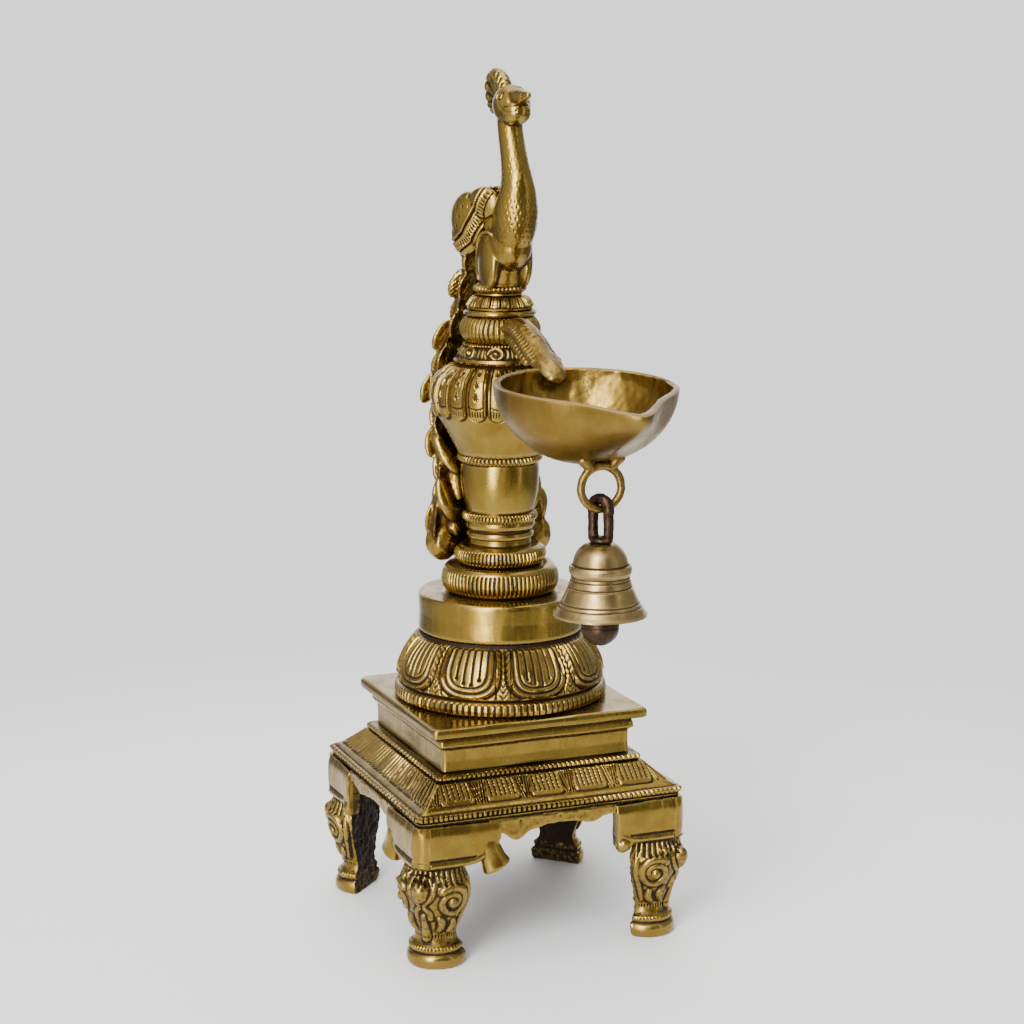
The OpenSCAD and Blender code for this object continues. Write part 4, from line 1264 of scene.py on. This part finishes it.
def build_train():
    rings = []
    for z, mid, half in curved(TRAIN[::-1], 1.2):
        x = half * np.linspace(-1, 1, 15)
        front = np.stack([x, mid - TRAIN_BEND * x * x - 1.6, 0 * x + z], axis=-1)
        behind = np.stack([x, mid - TRAIN_BEND * x * x + 1.4, 0 * x + z], axis=-1)[::-1]
        rings.append(np.concatenate([front, behind]))
    parts = [ring_stack(rings)]
    for row, z in enumerate(FEATHER_ROWS):
        half = train_at(z - 3)[1]
        count = max(2, int(round(2 * half / 6.6)))
        spots = (np.arange(count) + 0.5) / count * 2 - 1
        if row % 2:
            spots = np.linspace(-1, 1, count + 1)
        for s in spots:
            x = s * (half - 1.6)
            parts += feather(x, z, 7.6, 12.5, lean=24 * s, lift=12)
    for side in (-1, 1):
        for z, reach, size in ((240, 5.4, 9), (229.5, 6.4, 10), (216, 9.4, 11), (203, 14.4, 11),
                               (190, 16.6, 10),
                               (178, 17, 10)):
            parts += feather(side * reach, z, 6.2, size, lean=side * 30, lift=10, face=-1)
        for z, reach, size in ((197, 11.6, 14), (184, 13.6, 16), (169, 15.4, 19), (153, 16.6, 18)):
            parts += feather(side * reach, z, 9.6, size, lean=side * -14, lift=14, face=-1, thick=2.6,
                             plain=True)
        for z, reach, size in ((160, 11.8, 17), (146, 12.8, 14)):
            parts += feather(side * reach, z, 7.0, size, lean=side * 10, lift=20, face=-1, thick=2.8,
                             plain=True)
        parts.append(ball((side * 17.6 + 1.2, 18.2, 137.4), (4.9, 4.6, 6.2)))
        parts.append(ball((side * 18.2 + 1.6, 14.8, 137.2), (6.3, 5.0, 7.2)))
        parts.append(ball((side * 18.2 + 1.6, 14.6, 148.6), (4.8, 3.8, 7.0)))
        parts.append(ball((side * 9.2, 20.6, 137.0), (4.9, 3.6, 6.0)))
    parts.append(ball((0, 21.6, 137.0), (4.9, 3.6, 6.0)))
    for x in (-14.5, -4.8, 4.8, 14.5):
        parts += feather(x, 155.5, 9.4, 15, lean=0.9 * x, lift=8)
    for x in (-18.5, -9.6, 0, 9.6, 18.5):
        parts += feather(x, 146, 8.6, 13, lean=0.6 * x, lift=8)
    mesh = fused("tail_train_cast", parts, 0.46, 1)

    def carve(p, n):
        x, y, z = p.T
        stipple = rough(p, 1.5, 110, 2)
        where = 0.4 + 0.6 * smooth(145, 138, z)
        barbs = groove((z + 0.9 * np.abs(x - 7.2 * np.round(x / 7.2))) / 1.7,
                       0.3) * (y > train_at(z)[0]) * (z > 160)
        return 0.16 * stipple * where - 0.3 * barbs + 0.15 * rough(p, 8, 111)
    push(mesh, carve)
    # Painted shade on the train's front faces near the middle, hidden behind the column.
    add_piece("tail_train_cast", mesh, POLISHED, "tail_train",
              dirt_and_shade=lambda p, n: 0.5 * (n[:, 1] < 0) * smooth(9, 5, np.abs(p[:, 0])))


# ------------------------------------------------------------------ bowl, arm and hanger

BOWL_R = 30.2
BOWL_DEPTH = 25.3
BOWL_REACH = 75.7
BOWL_TILT = math.radians(4)
BOWL_WALL = 2.3
SPOUT = 14.8  # how far the lip is drawn out beyond the rim


def bowl_skin(turn, rise, inset):
    """The bowl's surface before it is tilted, inset by some millimetres. rise runs from 0 at the bottom to
    a quarter turn at the rim."""
    off = np.abs(np.degrees(turn) % 360 - 270) / 17
    spout = SPOUT * np.exp(-off ** 1.5) * np.sin(rise) ** 7
    r = (BOWL_R - inset) * np.sin(rise) + spout * (1 - inset / 14)
    z = -(BOWL_DEPTH - inset) * np.cos(rise) - 0.1 * spout * np.sin(rise)
    return r * np.cos(turn), r * np.sin(turn), z


def build_bowl():
    around = 300
    turn = np.linspace(0, TAU, around, endpoint=False)[None, :]
    outer_rise = np.linspace(0.03, math.pi / 2, 64)[:, None]
    inner_rise = np.linspace(math.pi / 2, 0.03, 64)[:, None]
    outer = np.stack(np.broadcast_arrays(*bowl_skin(turn, outer_rise, 0.0)), axis=-1)
    inner = np.stack(np.broadcast_arrays(*bowl_skin(turn, inner_rise, BOWL_WALL)), axis=-1)
    rim = []
    for t in (0.18, 0.5, 0.82):
        ring = outer[-1] * (1 - t) + inner[0] * t
        ring[:, 2] += 0.55 * math.sin(math.pi * t)
        rim.append(ring)
    grid = np.concatenate([outer, np.stack(rim), inner])
    rows = len(grid)
    flat = grid.reshape(-1, 3)
    hand = rough(flat, 22, 120) * 0.4
    length = np.linalg.norm(flat, axis=1)[:, None]
    flat = flat + flat / length * hand[:, None]
    inside = np.repeat(np.arange(rows) > 66, around)
    flat[inside] += (flat / length * (0.35 * rough(flat, 5, 121))[:, None])[inside]
    verts, faces = with_poles(flat, rows, around, [[0, 0, -BOWL_DEPTH], [0, 0, -BOWL_DEPTH + BOWL_WALL]])
    c, s = math.cos(BOWL_TILT), math.sin(BOWL_TILT)
    y, z = verts[:, 1].copy(), verts[:, 2].copy()
    verts[:, 1] = y * c - z * s - BOWL_REACH
    verts[:, 2] = y * s + z * c + bowl_centre_z()
    mesh = build_mesh("oil_bowl_cast", verts, faces)

    def dirt(p, n):
        q = p - np.array([0, -BOWL_REACH, bowl_centre_z()])
        inward = smooth(0.0, 0.5, -np.einsum("ij,ij->i", n, q) / np.linalg.norm(q, axis=1))
        return 0.32 * inward * (0.6 + 0.9 * rough(p, 11, 122)) + 0.25 * bump(q[:, 2] + BOWL_DEPTH, 5)
    add_piece("oil_bowl_cast", mesh, BOWL_METAL, "oil_bowl", dirt_and_shade=dirt)


def bowl_centre_z():
    """Height of the middle of the bowl's rim."""
    return level("ribbed_ring")[0] - 6.7


def build_arm():
    foot = level("ribbed_ring")[0]
    path = np.array([(0, -10.5, foot + 4.8), (0, -17, foot + 6), (0, -23, foot + 5.2), (0, -30, foot + 2.2),
                     (0, -37, foot - 1.4), (0, -43, foot - 3.4), (0, -48.5, foot - 5.8),
                     (0, -52.6, foot - 8.9)])
    width = np.array([4.4, 4.7, 4.8, 4.8, 5.0, 5.2, 4.6, 2.8])
    height = np.array([3.8, 4.1, 4.0, 3.7, 3.4, 3.0, 2.5, 1.6])
    parts = [rounded(path, width, height, step=0.7, sides=32, up=(0, 0, 1))]
    for side in (-1, 1):
        ridge = path[:6] + np.column_stack([side * (width[:6] - 0.6), np.zeros(6), 0.5 + 0 * width[:6]])
        parts.append(rounded(ridge, np.full(6, 1.3), step=0.6, sides=14))
        lobe = path[1:5] + np.column_stack([side * (width[1:5] - 0.2), np.zeros(4), -2.6 + 0 * width[1:5]])
        parts.append(rounded(lobe, [1.2, 1.8, 1.7, 1.0], step=0.6, sides=14))
    mesh = fused("bowl_arm_cast", parts, 0.34, 1)

    def carve(p, n):
        x, y = p[:, 0], p[:, 1]
        beads = groove(y / 1.7, 0.32) * (np.abs(x) > 3.4) * (y > -42)
        top = bump(x, 2.4) * smooth(0.3, 0.8, n[:, 2])
        lines = groove(y / 6.5, 0.12) * top * (y > -36)
        return -0.25 * beads - 0.3 * lines + 0.18 * rough(p, 6, 130) + 0.1 * rough(p, 2, 131)
    push(mesh, carve)
    # Painted shade on downward-facing faces, and a dark band where the arm meets the column.
    add_piece("bowl_arm_cast", mesh, BOWL_METAL, "bowl_arm",
              dirt_and_shade=lambda p, n: 0.4 * smooth(0.2, -0.6, n[:, 2]) + 0.3 * bump(p[:, 1] + 13, 4))


BELL_Y = -87.7


def ring_path(centre, radius, start, end, count, plane="xz"):
    """Points along part of a circle that stands upright."""
    t = np.linspace(start, end, count)
    u, v = radius * np.cos(t), radius * np.sin(t)
    zero = 0 * t
    offset = np.stack([u, zero, v] if plane == "xz" else [zero, u, v], axis=-1)
    return np.asarray(centre, float) + offset


def build_hanger():
    low = level("bell_hanger")[0]
    ring = 7.1
    centre = np.array([0, BELL_Y, low + ring + 1.4])
    loop = ring_path(centre, ring, 0, TAU, 48)[:-1]
    parts = [loop_tube(loop, 1.42)]
    for side in (-1, 1):
        prong = [centre + (side * 2.6, 0, 5.4), centre + (side * 4.6, 0, 7.6),
                 centre + (side * 7.6, 0, 11.0)]
        parts.append(rounded(prong, [1.5, 1.8, 2.5], step=0.6, sides=16))
    parts.append(ball(centre + (0, 0, ring + 0.2), (2.6, 1.6, 1.2)))
    mesh = fused("bell_hanger_cast", parts, 0.3, 1)
    push(mesh, lambda p, n: 0.16 * rough(p, 3, 140))
    add_piece("bell_hanger_cast", mesh, BOWL_METAL, "bell_hanger",
              dirt_and_shade=lambda p, n: 0.3 + 0.3 * rough(p, 4, 141))


# ------------------------------------------------------------------ bell and clapper

LOOP_TURN = math.radians(26)  # how far the bell's loop is turned about Z


def build_bell():
    mouth, crown = level("bell")
    high = crown - mouth
    outer = [(0.6, high), (4.4, high - 0.1), (5.3, high - 0.5)]
    outer += arc((5.9, high - 1.0), (8.6, high - 3.0), (9.0, high - 6.4), 10)
    outer += [(9.1, high - 6.9), (9.9, high - 7.3), (10.35, high - 8.2), (10.2, high - 9.6),
              (9.8, high - 10.4)]
    outer += (arc((9.55, high - 10.9), (11.0, high - 16.4), (13.8, 3.2), 14)
              + [(14.7, 1.7), (15.45, 0.8), (15.4, 0.15)])
    inner = [(14.7, 0)] + arc((13.7, 0.4), (9.6, 6.5), (8.2, high - 11.6), 12)
    inner += arc((7.8, high - 8), (7.2, high - 3.6), (3.0, high - 2.8), 8) + [(0.6, high - 2.8)]
    profile = straight(lifted((outer + inner)[::-1], mouth), 0.3)
    around = 240

    def relief(angle, z, r):
        h = z - mouth
        rise = 0 * angle + 0 * z
        for at, depth in ((12.0, 0.3), (9.9, 0.35), (9.3, 0.2), (4.6, 0.35), (3.4, 0.3), (high - 7.0, 0.2)):
            rise = rise - depth * bump(h - at, 0.3) * (r > 9.0)
        return rise
    verts, faces = turned(profile, around, relief, 0.6, 0.05, 150)
    verts[:, 1] += BELL_Y
    mesh = build_mesh("bell_cast", verts, faces)

    def dirt(p, n):
        # Painted shade inside the bell, its downward-facing ceiling included; dark lines in the grooves and
        # a stain near the crown.
        q = p - np.array([0, BELL_Y, 0])
        inward = smooth(0.1, 0.6, -(n[:, 0] * q[:, 0] + n[:, 1] * q[:, 1]) / (np.hypot(q[:, 0], q[:, 1])
            + 0.1))
        deep = inward * (p[:, 2] < crown - 2) + (n[:, 2] < -0.6) * (np.hypot(q[:, 0], q[:, 1]) < 14)
        rings = sum(bump(p[:, 2] - mouth - h, 0.28) for h in (12.0, 9.9, 4.6, 3.4, high - 7.0, high - 10.9))
        stain = 0.35 * smooth(high - 5, high - 1, p[:, 2] - mouth) * smooth(-0.2, 0.4, rough(q, 4, 152))
        return 0.8 * np.clip(deep, 0, 1) + 0.6 * rings + stain
    add_piece("bell_cast", mesh, BELL_METAL, "bell", "bell", dirt_and_shade=dirt)

    swing = level("bell_hanger")[0] + 1.35
    centre = np.array([0, BELL_Y, swing])
    loop = ring_path(centre, 3.4, math.radians(-25), math.radians(205), 24, "yz")
    down = crown - swing - 0.3
    legs = [loop[0] + (0, 0.1, -4), centre + (0, 3.0, down)]
    left = [loop[-1] + (0, -0.1, -4), centre + (0, -3.0, down)]
    whole = np.concatenate([[legs[1], legs[0]], loop, left]) - centre
    thick = 1.75 + 0.2 * smooth(0, 3, whole[:, 2])
    c, s = math.cos(LOOP_TURN), math.sin(LOOP_TURN)
    whole = centre + np.column_stack([c * whole[:, 0] - s * whole[:, 1],
                                      s * whole[:, 0] + c * whole[:, 1], whole[:, 2]])
    parts = [rounded(whole, thick, thick, step=0.5, sides=18, up=(c, s, 0))]
    parts.append(ball((0, BELL_Y, crown + 0.9), (3.2, 3.8, 1.5)))
    mesh = fused("bell_loop_cast", parts, 0.26, 1)
    push(mesh, lambda p, n: 0.14 * rough(p, 2.5, 151))
    add_piece("bell_loop_cast", mesh, DARK_METAL, "bell_loop", "bell", reach=0.7)

    low = level("clapper_staple")[0] + 0.9
    staple = [(0, BELL_Y + 2.2, crown - 2.9), (0, BELL_Y + 2.2, low + 1.0), (0, BELL_Y + 1.5, low + 0.1),
              (0, BELL_Y, low), (0, BELL_Y - 1.5, low + 0.1), (0, BELL_Y - 2.2, low + 1.0),
              (0, BELL_Y - 2.2, crown - 2.9)]
    verts, faces = rounded(staple, np.full(7, 0.88), step=0.35, sides=16, up=(1, 0, 0))
    add_piece("clapper_staple_wire", build_mesh("clapper_staple_wire", verts, faces), DARK_METAL,
              "clapper_staple", "bell")


def build_clapper():
    low, high = level("clapper_link")
    bend = 1.9
    points = []
    for start, middle in ((0, high - bend), (math.pi, low + bend)):
        for t in np.linspace(start, start + math.pi, 14):
            points.append((bend * math.cos(t), BELL_Y, middle + bend * math.sin(t)))
    verts, faces = loop_tube(np.array(points), 0.68, 14)
    add_piece("clapper_link_wire", build_mesh("clapper_link_wire", verts, faces), DARK_METAL,
              "clapper_link", "link")

    low, high = level("clapper")
    eye = np.array([0, BELL_Y, high - 2.5])
    centre = np.array([0, BELL_Y, low + 6.5])
    parts = [loop_tube(ring_path(eye, bend, 0, TAU, 30, "yz")[:-1], 0.6, 14)]
    parts.append(rounded([eye - (0, 0, 2.2), eye - (0, 0, 4.5), centre + (0, 0, 4)], [1.0, 1.1, 1.6],
                         step=0.5, sides=16, up=(0, 1, 0)))
    parts.append(ball(centre, (6.4, 6.4, 6.4), rows=36, cols=48))
    mesh = fused("clapper_cast", parts, 0.28, 1)
    push(mesh, lambda p, n: 0.1 * rough(p, 3, 160) - 0.1 * bump(p[:, 2] - centre[2], 0.5))
    add_piece("clapper_cast", mesh, DARK_METAL, "clapper", "clapper")


# ------------------------------------------------------------------ tie rod, nut and washer

def build_rod():
    """The tie rod, threaded at both ends, and the finish of its nut and washer, which stay as CAD solids."""
    low, high = level("tie_rod")
    rod_radius, pitch, depth = 3.0, 1.0, 0.45
    around = 48
    z = np.arange(low, high, pitch / 8)
    turn = np.linspace(0, TAU, around, endpoint=False)
    phase = z[:, None] / pitch - turn[None, :] / TAU
    cut = np.abs(2 * (phase - np.floor(phase)) - 1)
    threads = (z[:, None] < low + 30) | (z[:, None] > high - 14)
    radius = rod_radius - depth * (1 - cut) * threads
    radius = radius * np.minimum(1, 0.82 + np.minimum(z - low, high - z)[:, None] / 3)
    grid = np.stack([radius * np.cos(turn), radius * np.sin(turn), z[:, None] + 0 * turn], axis=-1)
    verts, faces = with_poles(grid.reshape(-1, 3), len(z), around, [[0, 0, low], [0, 0, high]])
    add_piece("tie_rod_threaded", build_mesh("tie_rod_threaded", verts, faces), STEEL, "tie_rod")
    for node in ("tie_nut", "clamp_washer"):
        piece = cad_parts[node]
        piece.data.materials.clear()
        piece.data.materials.append(STEEL)


# ------------------------------------------------------------------ studio

CAMERA_TURN = math.radians(-22.16)  # about Z, from straight in front of the bowl
CAMERA_UP = math.radians(10.44)
CAMERA_AWAY = 815.2  # from its target, in millimetres
CAMERA_TARGET = (4.32, 149.1)  # to the right of the column's axis, and up
LENS = 79.63
FLOOR_R = 0.55  # metres
FLOOR_FADES = 0.16  # metres from the middle, where the floor starts to fade out
BACKDROP_R = 4.0  # metres
BACKDROP = 1.45  # radiance of what the camera sees behind the lamp
ROOM = 0.30  # radiance of the room where no glow reaches
GLOWS = [  # degrees to the right of the camera, degrees up, where it starts to fade, where it ends, radiance
    (-55, 5, 10, 75, 0.9),
    (-20, 50, 6, 34, 3.0),
    (180, 12, 12, 45, 1.9),
    (0, 90, 5, 50, 1.0),
    (100, 20, 5, 40, 0.3),
]


def build_camera():
    flat = math.cos(CAMERA_UP)
    back = Vector((math.sin(CAMERA_TURN) * flat, -math.cos(CAMERA_TURN) * flat, math.sin(CAMERA_UP)))
    right = Vector((math.cos(CAMERA_TURN), math.sin(CAMERA_TURN), 0))
    target = Vector((0, 0, CAMERA_TARGET[1])) + right * CAMERA_TARGET[0]
    data = bpy.data.cameras.new("camera")
    data.lens = LENS
    data.sensor_width = 36
    data.clip_end = 20
    camera = bpy.data.objects.new("camera", data)
    bpy.context.scene.collection.objects.link(camera)
    camera.location = (target + back * CAMERA_AWAY) * MM
    camera.rotation_mode = "QUATERNION"
    camera.rotation_quaternion = (-back).to_track_quat("-Z", "Y")
    bpy.context.scene.camera = camera


def softbox(name, turn, distance, height, size, radiance, aim_z=0.15):
    """A soft light some degrees to the right of the camera. Lengths are in metres, size is (width, height),
    and it points at the height aim_z on the lamp's axis."""
    place = studio_direction(turn, 0) * distance + Vector((0, 0, height))
    data = bpy.data.lights.new(name, "AREA")
    data.shape = "RECTANGLE"
    data.size, data.size_y = size
    data.energy = radiance * math.pi * size[0] * size[1]
    lamp = bpy.data.objects.new(name, data)
    bpy.context.scene.collection.objects.link(lamp)
    lamp.location = place
    lamp.visible_camera = False
    lamp.rotation_mode = "QUATERNION"
    lamp.rotation_quaternion = (Vector((0, 0, aim_z)) - place).to_track_quat("-Z", "Y")


def build_floor():
    """A pale round board whose edge melts into the room, so that no horizon shows."""
    f = Finish("pale_floor", "polished_brass")
    fine = f.noise(30, 3)
    colour = f.blend(fine, (0.80, 0.80, 0.795), (0.83, 0.83, 0.825))
    material = f.finish(colour, 0.0, f.spread(fine, 0, 1, 0.6, 0.7), fine, 0.02)
    surface = f.tree.nodes["Principled BSDF"].outputs[0]
    clear = f.tree.nodes.new("ShaderNodeBsdfTransparent")
    mix = f.tree.nodes.new("ShaderNodeMixShader")
    reach = f.tree.nodes.new("ShaderNodeVectorMath")
    reach.operation = "LENGTH"
    f.link(f.place, reach.inputs[0])
    f.link(f.spread(reach.outputs["Value"], FLOOR_FADES, FLOOR_R), mix.inputs[0])
    f.link(surface, mix.inputs[1])
    f.link(clear.outputs[0], mix.inputs[2])
    f.link(mix.outputs[0], f.tree.nodes["Material Output"].inputs[0])
    mesh = bpy.data.meshes.new("floor")
    rim = [(FLOOR_R * math.cos(a), FLOOR_R * math.sin(a), 0) for a in np.linspace(0, TAU, 96,
        endpoint=False)]
    mesh.from_pydata(rim, [], [tuple(range(96))])
    mesh.materials.append(material)
    floor = bpy.data.objects.new("floor", mesh)
    bpy.context.scene.collection.objects.link(floor)


def build_backdrop():
    """A plain pale dome round the scene, seen straight on but not in the metal."""
    f = Finish("pale_backdrop", "polished_brass")
    light = f.tree.nodes.new("ShaderNodeEmission")
    colour = f.blend(f.noise(0.02, 2), (1.0, 0.995, 0.985), (0.99, 0.985, 0.975))
    f.link(colour, light.inputs["Color"])
    light.inputs["Strength"].default_value = BACKDROP
    out = f.tree.nodes.new("ShaderNodeOutputMaterial")
    f.link(light.outputs[0], out.inputs[0])
    verts, faces = ball((0, 0, 0), (BACKDROP_R / MM,) * 3, rows=24, cols=48)
    mesh = build_mesh("backdrop", verts, faces)
    mesh.materials.append(f.material)
    dome = bpy.data.objects.new("backdrop", mesh)
    bpy.context.scene.collection.objects.link(dome)
    dome.visible_glossy = False
    dome.visible_diffuse = False
    dome.visible_shadow = False


def studio_direction(turn, pitch):
    """A direction that is some degrees to the right of the camera and some degrees up."""
    back = Vector((math.sin(CAMERA_TURN), -math.cos(CAMERA_TURN), 0))
    right = Vector((math.cos(CAMERA_TURN), math.sin(CAMERA_TURN), 0))
    a, b = math.radians(turn), math.radians(pitch)
    return (back * math.cos(a) + right * math.sin(a)) * math.cos(b) + Vector((0, 0, math.sin(b)))


def build_world():
    """A dim room with a few broad soft glows."""
    world = bpy.data.worlds.new("studio")
    bpy.context.scene.world = world
    world.use_nodes = True
    tree = world.node_tree
    tree.nodes.clear()
    place = tree.nodes.new("ShaderNodeTexCoord")
    light = tree.nodes.new("ShaderNodeBackground")
    out = tree.nodes.new("ShaderNodeOutputWorld")
    total = None
    for turn, pitch, inner, outer, amount in GLOWS:
        near = tree.nodes.new("ShaderNodeVectorMath")
        near.operation = "DOT_PRODUCT"
        near.inputs[1].default_value = studio_direction(turn, pitch)
        tree.links.new(place.outputs["Generated"], near.inputs[0])
        glow = tree.nodes.new("ShaderNodeMapRange")
        glow.interpolation_type = "SMOOTHSTEP"
        glow.inputs["From Min"].default_value = math.cos(math.radians(outer))
        glow.inputs["From Max"].default_value = math.cos(math.radians(inner))
        glow.inputs["To Max"].default_value = amount
        tree.links.new(near.outputs["Value"], glow.inputs["Value"])
        add = tree.nodes.new("ShaderNodeMath")
        tree.links.new(glow.outputs["Result"], add.inputs[0])
        if total:
            tree.links.new(total, add.inputs[1])
        else:
            add.inputs[1].default_value = ROOM
        total = add.outputs[0]
    tree.links.new(total, light.inputs["Strength"])
    light.inputs["Color"].default_value = (1, 0.99, 0.975, 1)
    tree.links.new(light.outputs[0], out.inputs[0])


def build_lights():
    softbox("strip", -22, 1.5, 0.6, (0.52, 2.6), 15.5)
    softbox("fill", 62, 1.4, 0.4, (0.12, 1.8), 3.2)
    softbox("top", 180, 0.25, 1.3, (0.9, 0.9), 3.2, 0.0)


build_camera()
build_column()
build_plinth()
build_legs()
build_apron()
build_bird()
build_crest()
build_wing(-1, "left_wing_cast", "left_wing")
build_wing(1, "right_wing_cast", "right_wing")
build_train()
build_bowl()
build_arm()
build_hanger()
build_bell()
build_clapper()
build_rod()
build_floor()
build_backdrop()
build_world()
build_lights()
